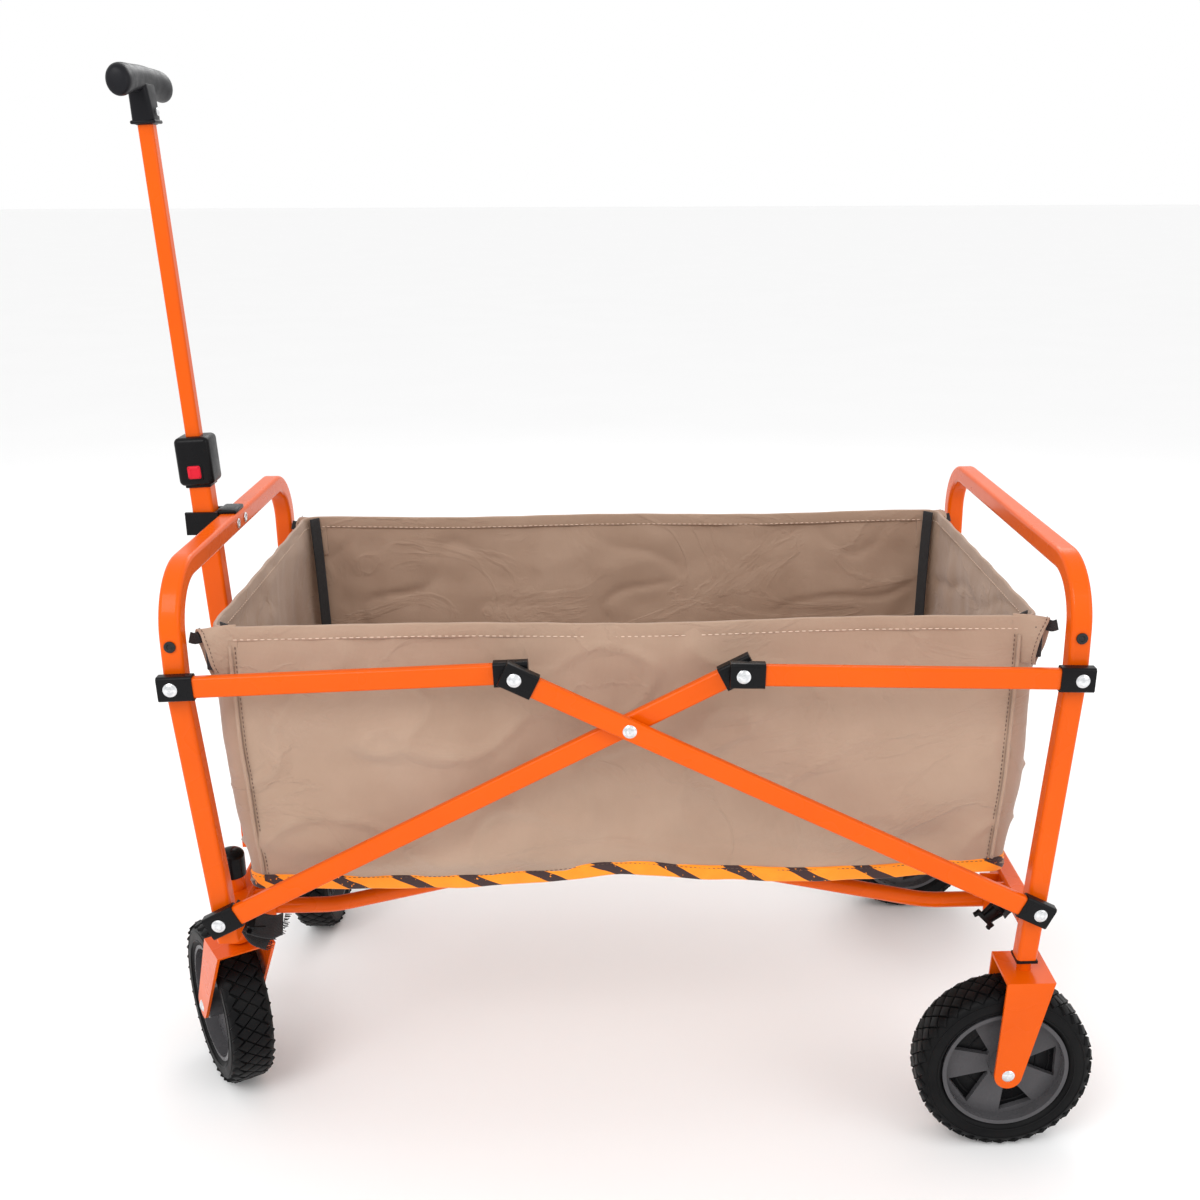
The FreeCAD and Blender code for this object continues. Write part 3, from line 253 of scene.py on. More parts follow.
# ------------------------------------------------------------------ finishes
class Finish:
    """A node-based material, with short words for the nodes that it needs."""

    def __init__(self, name, roughness, metallic=0.0, coat=0.0, coat_roughness=0.1, sheen=0.0, level=0.5):
        self.material = bpy.data.materials.new(name)
        self.material.use_nodes = True
        self.tree = self.material.node_tree
        self.shader = self.tree.nodes["Principled BSDF"]
        for key, value in (("Roughness", roughness), ("Metallic", metallic), ("Coat Weight", coat),
                           ("Coat Roughness", coat_roughness), ("Sheen Weight", sheen),
                           ("Specular IOR Level", level)):
            self.shader.inputs[key].default_value = value
        places = self.tree.nodes.new("ShaderNodeTexCoord")
        self.object_place = places.outputs["Object"]
        self.cloth_place = places.outputs["UV"]

    def node(self, kind, inputs=None, **values):
        made = self.tree.nodes.new(kind)
        for key, value in values.items():
            setattr(made, key, value)
        for key, value in (inputs or {}).items():
            if isinstance(value, bpy.types.NodeSocket):
                self.tree.links.new(value, made.inputs[key])
            else:
                made.inputs[key].default_value = value
        return made

    def noise(self, scale, detail=3.0, rough=0.5, place=None, distortion=0.0):
        return self.node("ShaderNodeTexNoise", {"Vector": place or self.object_place, "Scale": scale,
                                                "Detail": detail, "Roughness": rough,
                                                "Distortion": distortion}).outputs["Fac"]

    def stretch(self, scale, place=None, turn=(0, 0, 0), shift=(0, 0, 0)):
        return self.node("ShaderNodeMapping", {"Vector": place or self.object_place, "Scale": scale,
                                               "Rotation": turn, "Location": shift}).outputs["Vector"]

    def bands(self, scale, direction, place=None, distortion=0.0):
        return self.node("ShaderNodeTexWave", {"Vector": place or self.cloth_place, "Scale": scale,
                                               "Distortion": distortion},
                         bands_direction=direction).outputs["Fac"]

    def maths(self, operation, a, b):
        return self.node("ShaderNodeMath", {0: a, 1: b}, operation=operation).outputs["Value"]

    def ramp(self, fac, stops):
        made = self.node("ShaderNodeValToRGB", {"Fac": fac})
        band = made.color_ramp
        while len(band.elements) < len(stops):
            band.elements.new(0.5)
        for element, (at, colour) in zip(band.elements, stops):
            element.position = at
            element.color = (*colour, 1)
        return made.outputs["Color"]

    def grey(self, fac, low, high, from_low=0.3, from_high=0.7):
        return self.node("ShaderNodeMapRange", {"Value": fac, "From Min": from_low, "From Max": from_high,
                                                "To Min": low, "To Max": high}).outputs["Result"]

    def mix(self, fac, a, b, blend="MIX"):
        made = self.node("ShaderNodeMix", data_type="RGBA", blend_type=blend)
        for index, value in ((0, fac), (6, a), (7, b)):
            if isinstance(value, bpy.types.NodeSocket):
                self.tree.links.new(value, made.inputs[index])
            else:
                made.inputs[index].default_value = value if index == 0 else (*value, 1)
        return made.outputs[2]

    def colour(self, socket):
        self.tree.links.new(socket, self.shader.inputs["Base Color"])

    def roughness(self, socket):
        self.tree.links.new(socket, self.shader.inputs["Roughness"])

    def bumps(self, *layers):
        """Relief from (height, distance) pairs, one over the other."""
        normal = None
        for height, distance in layers:
            inputs = {"Height": height, "Distance": distance, "Strength": 1.0}
            if normal:
                inputs["Normal"] = normal
            normal = self.node("ShaderNodeBump", inputs).outputs["Normal"]
        self.tree.links.new(normal, self.shader.inputs["Normal"])


def orange_paint():
    finish = Finish("orange_powder_coat", 0.25, coat=0.10, coat_roughness=0.05, level=0.13)
    tone = finish.noise(9, 2)
    finish.colour(finish.ramp(tone, [(0.3, (0.70, 0.090, 0.0004)), (0.7, (0.76, 0.102, 0.0007))]))
    finish.roughness(finish.grey(finish.noise(14, 2), 0.24, 0.32))
    finish.bumps((finish.noise(420, 1), 0.000018))
    return finish.material


def moulded_plastic(name, dark, light, rough, grain, depth=0.00006):
    finish = Finish(name, rough, level=0.12)
    finish.colour(finish.mix(finish.noise(25, 4), dark, light))
    finish.roughness(finish.grey(finish.noise(90, 3), rough - 0.07, rough + 0.08))
    finish.bumps((finish.noise(grain, 2, 0.6), depth), (finish.noise(35, 2), 0.0001))
    return finish.material


def plated_steel():
    finish = Finish("zinc_plating", 0.24, metallic=1.0)
    streaks = finish.noise(180, 3, 0.6, finish.stretch((1, 6, 1)))
    finish.colour(finish.ramp(streaks, [(0.3, (0.55, 0.56, 0.58)), (0.7, (0.86, 0.87, 0.88))]))
    finish.roughness(finish.grey(finish.noise(140, 3), 0.16, 0.34))
    finish.bumps((streaks, 0.00003))
    return finish.material


def black_steel():
    finish = Finish("blackened_steel", 0.35, metallic=0.4)
    finish.colour(finish.mix(finish.noise(200, 3), (0.006, 0.006, 0.007), (0.022, 0.021, 0.022)))
    finish.bumps((finish.noise(900, 2), 0.00003))
    return finish.material


def weave(finish, place, pitch):
    """Height of a plain weave: two sets of threads that pass over each other in turn."""
    scale = TURN / 20 / pitch
    warp = finish.bands(scale, "X", place)
    weft = finish.bands(scale, "Y", place)
    over = finish.node("ShaderNodeTexChecker", {"Vector": place, "Scale": 1 / pitch}).outputs["Fac"]
    warp_up = finish.maths("MULTIPLY", warp, finish.maths("ADD", finish.maths("MULTIPLY", over, 0.5), 0.5))
    under = finish.maths("SUBTRACT", 1.0, finish.maths("MULTIPLY", over, 0.5))
    weft_up = finish.maths("MULTIPLY", weft, under)
    return finish.maths("MAXIMUM", warp_up, weft_up)


def bag_cloth(name, shade, tint, pitch=0.0011, creases=1.0):
    """Coated polyester: fine weave, soft packing creases and a faint change of tone, with painted shade in the
    hollows of the weave.
    """
    finish = Finish(name, 0.72, sheen=0.25, level=0.3)
    threads = weave(finish, finish.cloth_place, pitch)
    cloud = finish.noise(7, 4, 0.55)
    creasing = finish.noise(5.5, 5, 0.5, finish.stretch((1, 1, 1.6), turn=(0.3, 0.5, 0.1)), 1.1)
    ridges = finish.maths("ABSOLUTE", finish.maths("SUBTRACT", creasing, 0.5), 0.0)
    fold_line = finish.grey(ridges, 1.0, 0.0, 0.0, 0.035)
    base = finish.ramp(cloud, [(0.32, shade), (0.68, tint)])
    # Painted shade: the low parts of the weave are painted up to 14% darker, towards dark brown, and the thread
    # crowns keep the cloth's tone.
    woven_with_painted_shade = finish.mix(finish.grey(threads, 0.14, 0.0, 0.2, 0.9), base, (0.10, 0.07, 0.05))
    finish.colour(woven_with_painted_shade)
    finish.roughness(finish.grey(cloud, 0.62, 0.8))
    finish.bumps((finish.noise(14, 4, 0.5, None, 0.6), 0.0022 * creases), (fold_line, 0.0006 * creases),
                 (threads, 0.00014))
    return finish.material


def webbing_cloth():
    finish = Finish("black_webbing", 0.7, sheen=0.15, level=0.35)
    threads = weave(finish, finish.cloth_place, 0.0016)
    # Painted shade: the colour follows the weave's height, near-black in the hollows between threads and lighter on
    # the thread crowns.
    finish.colour(finish.mix(finish.grey(threads, 0.0, 1.0, 0.1, 0.9), (0.004, 0.004, 0.005),
                             (0.03, 0.029, 0.031)))
    finish.bumps((threads, 0.0004))
    return finish.material


def tape_cloth():
    """Bright binding tape with slanted dark bars, whose places and lengths differ a little."""
    finish = Finish("printed_binding_tape", 0.6, sheen=0.2, level=0.3)
    threads = weave(finish, finish.cloth_place, 0.0009)
    parts = finish.node("ShaderNodeSeparateXYZ", {"Vector": finish.cloth_place})
    along, up = parts.outputs["Y"], parts.outputs["X"]
    slant = finish.maths("ADD", along, finish.maths("MULTIPLY", up, 1.9))
    wobble = finish.maths("MULTIPLY", finish.noise(26, 1, 0.5, finish.cloth_place), 0.011)
    step = finish.maths("FRACT", finish.maths("DIVIDE", finish.maths("ADD", slant, wobble), 0.0655), 0.0)
    bar = finish.maths("LESS_THAN", step, 0.30)
    edge = finish.maths("GREATER_THAN", finish.noise(230, 2, 0.5, finish.cloth_place), 0.33)
    printed = finish.maths("MULTIPLY", bar, edge)
    bright = finish.mix(finish.noise(60, 3), (1.0, 0.245, 0.004), (1.0, 0.33, 0.012))
    finish.colour(finish.mix(printed, bright, (0.040, 0.017, 0.017)))
    finish.bumps((threads, 0.0001), (finish.noise(120, 3), 0.0005))
    return finish.material


def thread_cloth(name, shade):
    finish = Finish(name, 0.65, level=0.3)
    tint = tuple(min(1, part * 1.25) for part in shade)
    finish.colour(finish.mix(finish.noise(300, 2), shade, tint))
    finish.bumps((finish.noise(1800, 2), 0.0001))
    return finish.material


def tyre_rubber():
    finish = Finish("tyre_rubber", 0.5, level=0.1)
    dust = finish.noise(22, 5, 0.6)
    finish.colour(finish.ramp(dust, [(0.35, (0.0035, 0.0035, 0.004)), (0.75, (0.009, 0.009, 0.009))]))
    finish.roughness(finish.grey(dust, 0.4, 0.6))
    finish.bumps((finish.noise(420, 3), 0.00012))
    return finish.material


PAINT = orange_paint()
PLASTIC = moulded_plastic("black_nylon", (0.0035, 0.0035, 0.004), (0.008, 0.008, 0.009), 0.3, 1100)
GLOSS_PLASTIC = moulded_plastic("gloss_black_cap", (0.003, 0.003, 0.0035), (0.006, 0.006, 0.007), 0.14, 300,
                                0.00002)
RIM = moulded_plastic("grey_moulded_rim", (0.070, 0.068, 0.072), (0.095, 0.092, 0.097), 0.28, 800)
GRIP = moulded_plastic("soft_black_grip", (0.006, 0.006, 0.0075), (0.014, 0.014, 0.017), 0.36, 1500,
                       0.00008)
BUTTON = moulded_plastic("red_button_plastic", (0.60, 0.012, 0.028), (0.74, 0.022, 0.045), 0.33, 500,
                         0.00003)
ZINC = plated_steel()
BLACK_STEEL = black_steel()
CLOTH = bag_cloth("tan_polyester", (0.395, 0.262, 0.184), (0.465, 0.322, 0.236))
LINING = bag_cloth("tan_polyester_mat", (0.36, 0.245, 0.18), (0.43, 0.30, 0.225), 0.0013, 0.8)
WEBBING = webbing_cloth()
TAPE = tape_cloth()
THREAD = thread_cloth("tan_thread", (0.62, 0.47, 0.37))
DARK_THREAD = thread_cloth("brown_thread", (0.10, 0.06, 0.045))
RUBBER = tyre_rubber()


def coat(piece, material):
    piece.data.materials.clear()
    piece.data.materials.append(material)


def give(piece, body, material):
    """The piece gets its finish and its body."""
    coat(piece, material)
    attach(piece, body)
    return piece


SLOT_FINISH = {"orange_paint": PAINT, "black_plastic": PLASTIC, "zinc": ZINC, "black_screw": BLACK_STEEL,
               "bag_fabric": CLOTH, "mat_fabric": LINING, "webbing": WEBBING, "tyre_rubber": RUBBER,
               "rim_grey": RIM, "button_red": BUTTON, "grip_black": GRIP}
for part in frame["record"]["subparts"]:
    holder = nodes[part["node"]]
    for spot in holder.material_slots:
        spot.material = SLOT_FINISH[part["material_slot"]]
for spot in nodes["caster_head_caps"].material_slots:
    spot.material = GLOSS_PLASTIC

# ------------------------------------------------------------------ the bag
bag_low, bag_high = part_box("bag")
mat_low, mat_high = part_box("floor_mat")
CENTRE_X, CENTRE_Y = (bag_low.x + bag_high.x) / 2, (bag_low.y + bag_high.y) / 2
TOP_HALF_X, FOOT_HALF_X = 0.3865, 0.3745
HALF_Y = (bag_high.y - bag_low.y) / 2 - 0.0015
HEM_Z = 0.5565
SEAM_Z = 0.2925
CORNER = 0.016
FOOT_WAVE = [(-0.38, 0.001), (-0.25, -0.002), (-0.17, -0.003), (-0.09, 0.001), (-0.01, 0.008),
             (0.09, 0.0), (0.17, -0.004), (0.23, -0.003), (0.31, 0.001), (0.38, 0.003)]


def between(table, x):
    for (a, u), (b, v) in zip(table, table[1:]):
        if x <= b:
            t = min(1, max(0, (x - a) / (b - a)))
            t = t * t * (3 - 2 * t)
            return u + (v - u) * t
    return table[-1][1]


def loop_places(half_x, half_y, count_x=84, count_y=45):
    """(x, y, outward x, outward y) round a rectangle with round corners, near side first."""
    places = []
    straight_x, straight_y = 2 * (half_x - CORNER), 2 * (half_y - CORNER)
    sides = [((-1, -1), (1, 0), straight_x, count_x), ((1, -1), (0, 1), straight_y, count_y),
             ((1, 1), (-1, 0), straight_x, count_x), ((-1, 1), (0, -1), straight_y, count_y)]
    for (sx, sy), (dx, dy), long, count in sides:
        nx, ny = dy, -dx
        start_x = sx * (half_x - CORNER) + nx * CORNER
        start_y = sy * (half_y - CORNER) + ny * CORNER
        for k in range(count):
            places.append((start_x + dx * long * k / count, start_y + dy * long * k / count, nx, ny))
        turn_x, turn_y = start_x + dx * long - nx * CORNER, start_y + dy * long - ny * CORNER
        for k in range(4):
            angle = k / 4 * math.pi / 2
            ox = nx * math.cos(angle) + dx * math.sin(angle)
            oy = ny * math.cos(angle) + dy * math.sin(angle)
            places.append((turn_x + ox * CORNER, turn_y + oy * CORNER, ox, oy))
    return places


FOOT_RING = loop_places(FOOT_HALF_X, HALF_Y)
TOP_RING = loop_places(TOP_HALF_X, HALF_Y)
LEVELS = 31
CLOTH_THICK = 0.0011
MOST_MOVED = 0.012
OVER_MOVED_KEPT = 0.15
SWELL_HIGH, RIDGE_HIGH = 0.0055, 0.0050
DRAPE_STEPS, DRAPE_GROWTH = 28, -0.02


def foot_z(x, y):
    near = max(0, -y / HALF_Y)
    wave = between(FOOT_WAVE, x)
    return SEAM_Z + wave * (near + (1 - near) * 0.3)


def top_z(x, y):
    sag = 0.0022 * max(0, 1 - (x / 0.3) ** 2) * (1 if y < 0 else 0.4)
    return HEM_Z + 0.0012 * math.sin(x * 17 + y * 9) - sag


def wall_point(index, share):
    """A point of the bag's wall: index round the rim, share from foot to hem."""
    fx, fy, _, _ = FOOT_RING[index]
    tx, ty, ox, oy = TOP_RING[index]
    belly = 0.005 * math.sin(math.pi * share)
    x, y = fx + (tx - fx) * share + ox * belly, fy + (ty - fy) * share + oy * belly * 0.6
    low, high = foot_z(fx, fy), top_z(tx, ty)
    return Vector((CENTRE_X + x, CENTRE_Y + y, low + (high - low) * share))


def crease(place):
    """Soft folds and sharper slanting creases of cloth that was packed folded."""
    slant = Vector((place.x * 5.5 + place.z * 4, place.y * 5.5, place.z * 9 - place.x * 2.5))
    swell = noise.fractal(slant, 0.9, 2.0, 3) * SWELL_HIGH
    fine = Vector((place.x * 9 - place.z * 7, place.y * 9, place.z * 12 + place.x * 5 + place.y * 4))
    ridge = 1 - abs(noise.noise(fine)) * 5
    return swell + RIDGE_HIGH * max(0, ridge) ** 2 * (0.5 + noise.noise(place * 6))


def bag_wall():
    """The draped and creased wall, and its points before the creases, which the seams follow."""
    ring = len(FOOT_RING)
    rows = [[wall_point(i, level / (LEVELS - 1)) for i in range(ring)] for level in range(LEVELS)]
    wall = grid("bag_wall", rows, close_across=True)
    held = wall.vertex_groups.new(name="held")
    loose = wall.vertex_groups.new(name="loose")
    starts = [vertex.co.copy() for vertex in wall.data.vertices]
    for level in range(LEVELS):
        for i in range(ring):
            ox, oy = TOP_RING[i][2:]
            corner = abs(ox * oy) > 0.01
            edge = level < 2 or level > LEVELS - 3
            held.add([level * ring + i], 1.0 if edge or (corner and level % 3 == 0) else 0.0, "REPLACE")
            loose.add([level * ring + i], 0.0 if edge else 1.0, "REPLACE")
    for vertex, start in zip(wall.data.vertices, starts):
        ox, oy = TOP_RING[vertex.index % ring][2:]
        shift = noise.noise(Vector(start) * 9) * 0.004 * wall_freedom(start)
        vertex.co += Vector((ox, oy, 0)) * shift
    drape(wall, "held", DRAPE_STEPS, DRAPE_GROWTH)
    for vertex, start in zip(wall.data.vertices, starts):
        moved = vertex.co - start
        if moved.length > MOST_MOVED:
            over = (moved.length - MOST_MOVED) * OVER_MOVED_KEPT
            vertex.co = start + moved.normalized() * (MOST_MOVED + over)
    modify(wall, "SMOOTH", factor=0.5, iterations=5, vertex_group="loose")
    surface = [vertex.co.copy() for vertex in wall.data.vertices]
    modify(wall, "SUBSURF", levels=1, render_levels=1)
    for vertex in wall.data.vertices:
        place = vertex.co.copy()
        across = Vector(((place.x - CENTRE_X) / TOP_HALF_X, (place.y - CENTRE_Y) / HALF_Y, 0))
        side = Vector((math.copysign(1, across.x), 0, 0)) if abs(across.x) > abs(across.y) else \
            Vector((0, math.copysign(1, across.y), 0))
        near_corner = min(1, (1 - min(abs(across.x), abs(across.y)) - 0.045) / 0.05)
        vertex.co += side * crease(place) * wall_freedom(place) * max(0, near_corner)
    modify(wall, "SOLIDIFY", thickness=CLOTH_THICK, offset=0)
    tidy_soft(wall)
    return wall, surface


def wall_freedom(place):
    """0 at the foot and the hem, where the cloth is sewn down, and 1 a little away from them."""
    share = (place.z - SEAM_Z) / (HEM_Z - SEAM_Z)
    return min(1, max(0, min(share, 1 - share) / 0.09))


def drape(cloth, group, frames, growth):
    """Lets the cloth hang from its held points, with a little more cloth than the frame needs."""
    pick(cloth)
    modifier = cloth.modifiers.new("Drape", "CLOTH")
    settings = modifier.settings
    settings.quality = 6
    settings.mass = 0.25
    settings.tension_stiffness = settings.compression_stiffness = 25
    settings.shear_stiffness = 12
    settings.bending_stiffness = 0.6
    settings.vertex_group_mass = group
    settings.shrink_min = growth
    modifier.collision_settings.use_collision = False
    modifier.point_cache.frame_start, modifier.point_cache.frame_end = 1, frames
    scene = bpy.context.scene
    for step in range(1, frames + 1):
        scene.frame_set(step)
    bpy.ops.object.modifier_apply(modifier=modifier.name)
    scene.frame_set(1)


def strip_round(name, section, level_share, lift):
    """A closed band that follows the wall's rim, with a small section of (out, up) points."""
    rows = []
    for index in range(len(FOOT_RING)):
        base = wall_point(index, level_share)
        ox, oy = TOP_RING[index][2:]
        flutter = 0.0006 * math.sin(index * 0.9) + 0.0007 * noise.noise(base * 30)
        rows.append([base + Vector((ox, oy, 0)) * (out + flutter) + Vector((0, 0, up + lift))
                     for out, up in section])
    band = grid(name, rows, close_across=True, close_along=True)
    tidy_soft(band)
    return band


def rounded(width, height, corner, count=3):
    """Points of a round-cornered section, counter-clockwise."""
    points = []
    for quarter, (sx, sy) in enumerate(((1, 1), (-1, 1), (-1, -1), (1, -1))):
        for k in range(count + 1):
            angle = (quarter + k / count) * math.pi / 2
            points.append((sx * (width / 2 - corner) + corner * math.cos(angle),
                           sy * (height / 2 - corner) + corner * math.sin(angle)))
    return points


def stitches(name, line, length, thick, gap, outward_at, material):
    """Short threads laid along a line of points, one mesh."""
    distance, parts, spots = 0.0, [], []
    for a, b in zip(line, line[1:]):
        run = (b - a).length
        while distance < run:
            spots.append((a + (b - a) * (distance / run), (b - a).normalized()))
            distance += length + gap
        distance -= run
    points, faces = [], []
    for spot, ahead in spots:
        out = Vector(outward_at(spot)).normalized()
        side = ahead.cross(out).normalized()
        first = len(points)
        for share, swell in ((0.0, 0.35), (0.25, 1.0), (0.75, 1.0), (1.0, 0.35)):
            middle = spot + ahead * length * (share - 0.5) + out * thick * 0.35 * swell
            for k in range(6):
                angle = k * TURN / 6
                points.append(middle + (out * math.cos(angle) + side * math.sin(angle)) * thick / 2 * swell)
        for ring in range(3):
            for k in range(6):
                n = (k + 1) % 6
                faces.append((first + ring * 6 + k, first + ring * 6 + n, first + ring * 6 + 6 + n,
                              first + ring * 6 + 6 + k))
        faces.append(tuple(first + k for k in range(6)))
        faces.append(tuple(first + 18 + k for k in reversed(range(6))))
    piece = mesh_piece(name, points, faces)
    tidy_soft(piece, 0.000001)
    coat(piece, material)
    return piece


def fold_with_frame(piece, material, body="rear_frame"):
    coat(piece, material)
    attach(piece, body)
    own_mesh(piece)


wall, wall_surface = bag_wall()
fold_with_frame(wall, CLOTH)
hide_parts("bag")

hem = strip_round("bag_hem", rounded(0.0036, 0.0145, 0.0016), 1.0, -0.0065)
fold_with_frame(hem, CLOTH)

tape = strip_round("bag_binding", rounded(0.0042, 0.0155, 0.0019), 0.0, -0.0005)
fold_with_frame(tape, TAPE)


def stitches_round(name, share, out, up, length, thick, gap, material):
    """Rows of stitches round the bag, one on its outside and one on its inside."""
    rows = []
    for side in (1, -1):
        def outward_at(spot, side=side):
            if abs(abs(spot.y - CENTRE_Y) - HALF_Y) > 0.006:
                return Vector((spot.x - CENTRE_X, 0, 0)).normalized() * side
            return Vector((0, spot.y - CENTRE_Y, 0)).normalized() * side

        line = []
        for index in [*range(len(FOOT_RING)), 0]:
            ox, oy = TOP_RING[index][2:]
            line.append(wall_point(index, share) + Vector((ox, oy, 0)) * out * side + Vector((0, 0, up)))
        rows.append(stitches(f"{name}_{side}", line, length, thick, gap, outward_at, material))
    threads = join(name, rows)
    fold_with_frame(threads, material)


stitches_round("bag_hem_stitching", 1.0, 0.0019, -0.0118, 0.0042, 0.0011, 0.0021, THREAD)
stitches_round("bag_binding_stitching", 0.0, 0.0022, 0.0052, 0.003, 0.0006, 0.0016, DARK_THREAD)


def corner_seam(sx, sy):
    """The piped seam beside a corner, on the long wall, along the draped cloth."""
    ring = len(FOOT_RING)
    column = min((i for i in range(ring) if TOP_RING[i][3] * sy > 0.99),
                 key=lambda i: abs(TOP_RING[i][0] - sx * (TOP_HALF_X - CORNER)))
    proud = Vector((0, sy * 0.0024, 0))
    line = [wall_surface[level * ring + column] + proud for level in range(1, LEVELS - 1)]
    line = curve_line(line[::3], 4)
    rows = []
    for spot in line:
        rows.append([spot + Vector((math.cos(a) * 0.0019, math.sin(a) * 0.0024, 0))
                     for a in (k * TURN / 10 for k in range(10))])
    seam = grid(f"corner_seam_{sx}_{sy}", rows, close_across=True)
    close_ends(seam, 12)
    tidy_soft(seam)
    coat(seam, CLOTH)
    beside = [spot + Vector((-sx * 0.0046, -sy * 0.0006, 0)) for spot in line]
    threads = stitches(f"seam_stitches_{sx}_{sy}", beside, 0.003, 0.0008, 0.0015,
                       lambda spot: (0, sy, 0), DARK_THREAD)
    return seam, threads


seams, seam_stitching = zip(*[corner_seam(sx, sy) for sx in (-1, 1) for sy in (-1, 1)])
seams = join("bag_corner_seams", list(seams))
fold_with_frame(seams, CLOTH)
seam_stitching = join("bag_seam_stitching", list(seam_stitching))
fold_with_frame(seam_stitching, DARK_THREAD)


MOUTH_START, MOUTH_REACH = 0.024, 0.0158


def sleeve_mouth(sx, sy):
    """The open end of the sleeve along the top of a long wall, which gapes towards the post."""
    rows = []
    count = 12
    for k in range(count + 1):
        t = k / count
        gape = t ** 1.6
        thick = 0.0022 + 0.0135 * gape
        high = 0.0475 - 0.002 * gape
        middle = HEM_Z + 0.0010 - high / 2 - 0.0025 * gape
        y = CENTRE_Y + sy * (HALF_Y + thick / 2 - 0.0012)
        row = []
        for j in range(28):
            a = j * TURN / 28
            outer_share = (1 + sy * math.cos(a)) / 2
            low_share = (1 - math.sin(a)) / 2
            end_x = (TOP_HALF_X + MOUTH_REACH - 0.011 * outer_share - 0.011 * low_share
                     + 0.001 * math.sin(3 * a + sx))
            x = CENTRE_X + sx * (TOP_HALF_X - MOUTH_START + (end_x - TOP_HALF_X + MOUTH_START) * t)
            ruffle = 0.0026 * gape * noise.noise(Vector((math.cos(a) * 1.9 + sx * 3, t * 3,
                                                         math.sin(a) * 1.9 + sy * 5)))
            upward = math.copysign(abs(math.sin(a)) ** 0.8, math.sin(a))
            row.append(Vector((x, y + (thick / 2 + ruffle) * math.cos(a),
                               middle + (high / 2 + ruffle) * upward)))
        rows.append(row)
    mouth = grid(f"sleeve_mouth_{sx}_{sy}", rows, close_across=True)
    outward(mouth)
    modify(mouth, "SUBSURF", levels=1, render_levels=1)
    modify(mouth, "SOLIDIFY", thickness=0.0012, offset=0)
    mouth.data.materials.append(CLOTH)
    centre = sum(rows[-1], Vector()) / len(rows[-1])
    back = Vector((-sx * 0.003, 0, 0))
    line = [point + back + (point - centre).normalized() * 0.0009 for point in rows[-1]]
    threads = stitches(f"mouth_stitches_{sx}_{sy}", line + line[:1], 0.0026, 0.0008, 0.0014,
                       lambda spot: spot - centre, DARK_THREAD)
    path = curve_line([centre + Vector((-sx * 0.009, 0, 0)), centre + Vector((-sx * 0.005, sy * 0.0004, 0)),
                       centre + Vector((-sx * 0.0012, 0, 0))], 5)
    liner = ribbon(f"mouth_webbing_{sx}_{sy}", path, 0.031, 0.0044, (0, 0, 1))
    return mouth, threads, liner


mouths, mouth_threads, liners = zip(*[sleeve_mouth(sx, sy) for sx in (-1, 1) for sy in (-1, 1)])
mouths = join("bag_sleeve_mouths", list(mouths))
for face in mouths.data.polygons:
    face.use_smooth = True
fold_with_frame(mouths, CLOTH)
liners = join("bag_sleeve_webbing", list(liners))
fold_with_frame(liners, WEBBING)
mouth_threads = join("bag_sleeve_stitching", list(mouth_threads))
fold_with_frame(mouth_threads, DARK_THREAD)


def base_sheet():
    """The bag's floor, level under the mat and following the wavy foot at its rim."""
    rows = []
    for i in range(31):
        row = []
        for j in range(49):
            x = (j / 48 * 2 - 1) * (FOOT_HALF_X - 0.001)
            y = (i / 30 * 2 - 1) * (HALF_Y - 0.001)
            rim = max(abs(x) / FOOT_HALF_X, abs(y) / HALF_Y)
            lift = min(1, (1 - rim) / 0.035)
            level = foot_z(x, y) + (mat_low.z - 0.0022 - foot_z(x, y)) * max(0, lift)
            level -= 0.0016 * max(0, noise.noise(Vector((x * 12, y * 12, 1))))
            row.append(Vector((CENTRE_X + x, CENTRE_Y + y, level)))
        rows.append(row)
    sheet = grid("bag_base", rows)
    modify(sheet, "SOLIDIFY", thickness=CLOTH_THICK, offset=0)
    tidy_soft(sheet)
    return sheet


base = base_sheet()
fold_with_frame(base, CLOTH)


MAT_BOARDS = 4


def mat_board(index):
    """One stiff board in its quilted cover, a little fuller in the middle than at its edges."""
    width = (mat_high.x - mat_low.x) / MAT_BOARDS
    left, right = mat_low.x + width * index + 0.0012, mat_low.x + width * (index + 1) - 0.0012
    low, high = mat_low.y + 0.001, mat_high.y - 0.001
    top, bottom = [], []
    nx, ny = 26, 52
    for i in range(ny + 1):
        upper, lower = [], []
        for j in range(nx + 1):
            u, v = j / nx, i / ny
            x, y = left + (right - left) * u, low + (high - low) * v
            rim = min(u * (right - left), (1 - u) * (right - left), v * (high - low), (1 - v) * (high - low))
            full = 1 - math.exp(-rim / 0.006)
            crease = 0.0005 * noise.noise(Vector((x * 30, y * 16, 3)))
            middle = (mat_low.z + mat_high.z) / 2
            half = (mat_high.z - mat_low.z) / 2 - 0.0004
            upper.append(Vector((x, y, middle + half * (0.12 + 0.85 * full) + crease * full)))
            lower.append(Vector((x, y, middle - half * (0.12 + 0.85 * full))))
        top.append(upper)
        bottom.append(lower)
    above, below = grid(f"board_top_{index}", top), grid(f"board_foot_{index}", bottom)
    skin = join(f"board_{index}", [above, below])
    pick_open_edges(skin)
    bpy.ops.mesh.bridge_edge_loops()
    leave()
    tidy_soft(skin)
    return skin


mat = join("floor_mat_boards", [mat_board(index) for index in range(MAT_BOARDS)])
fold_with_frame(mat, LINING)
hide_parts("floor_mat")

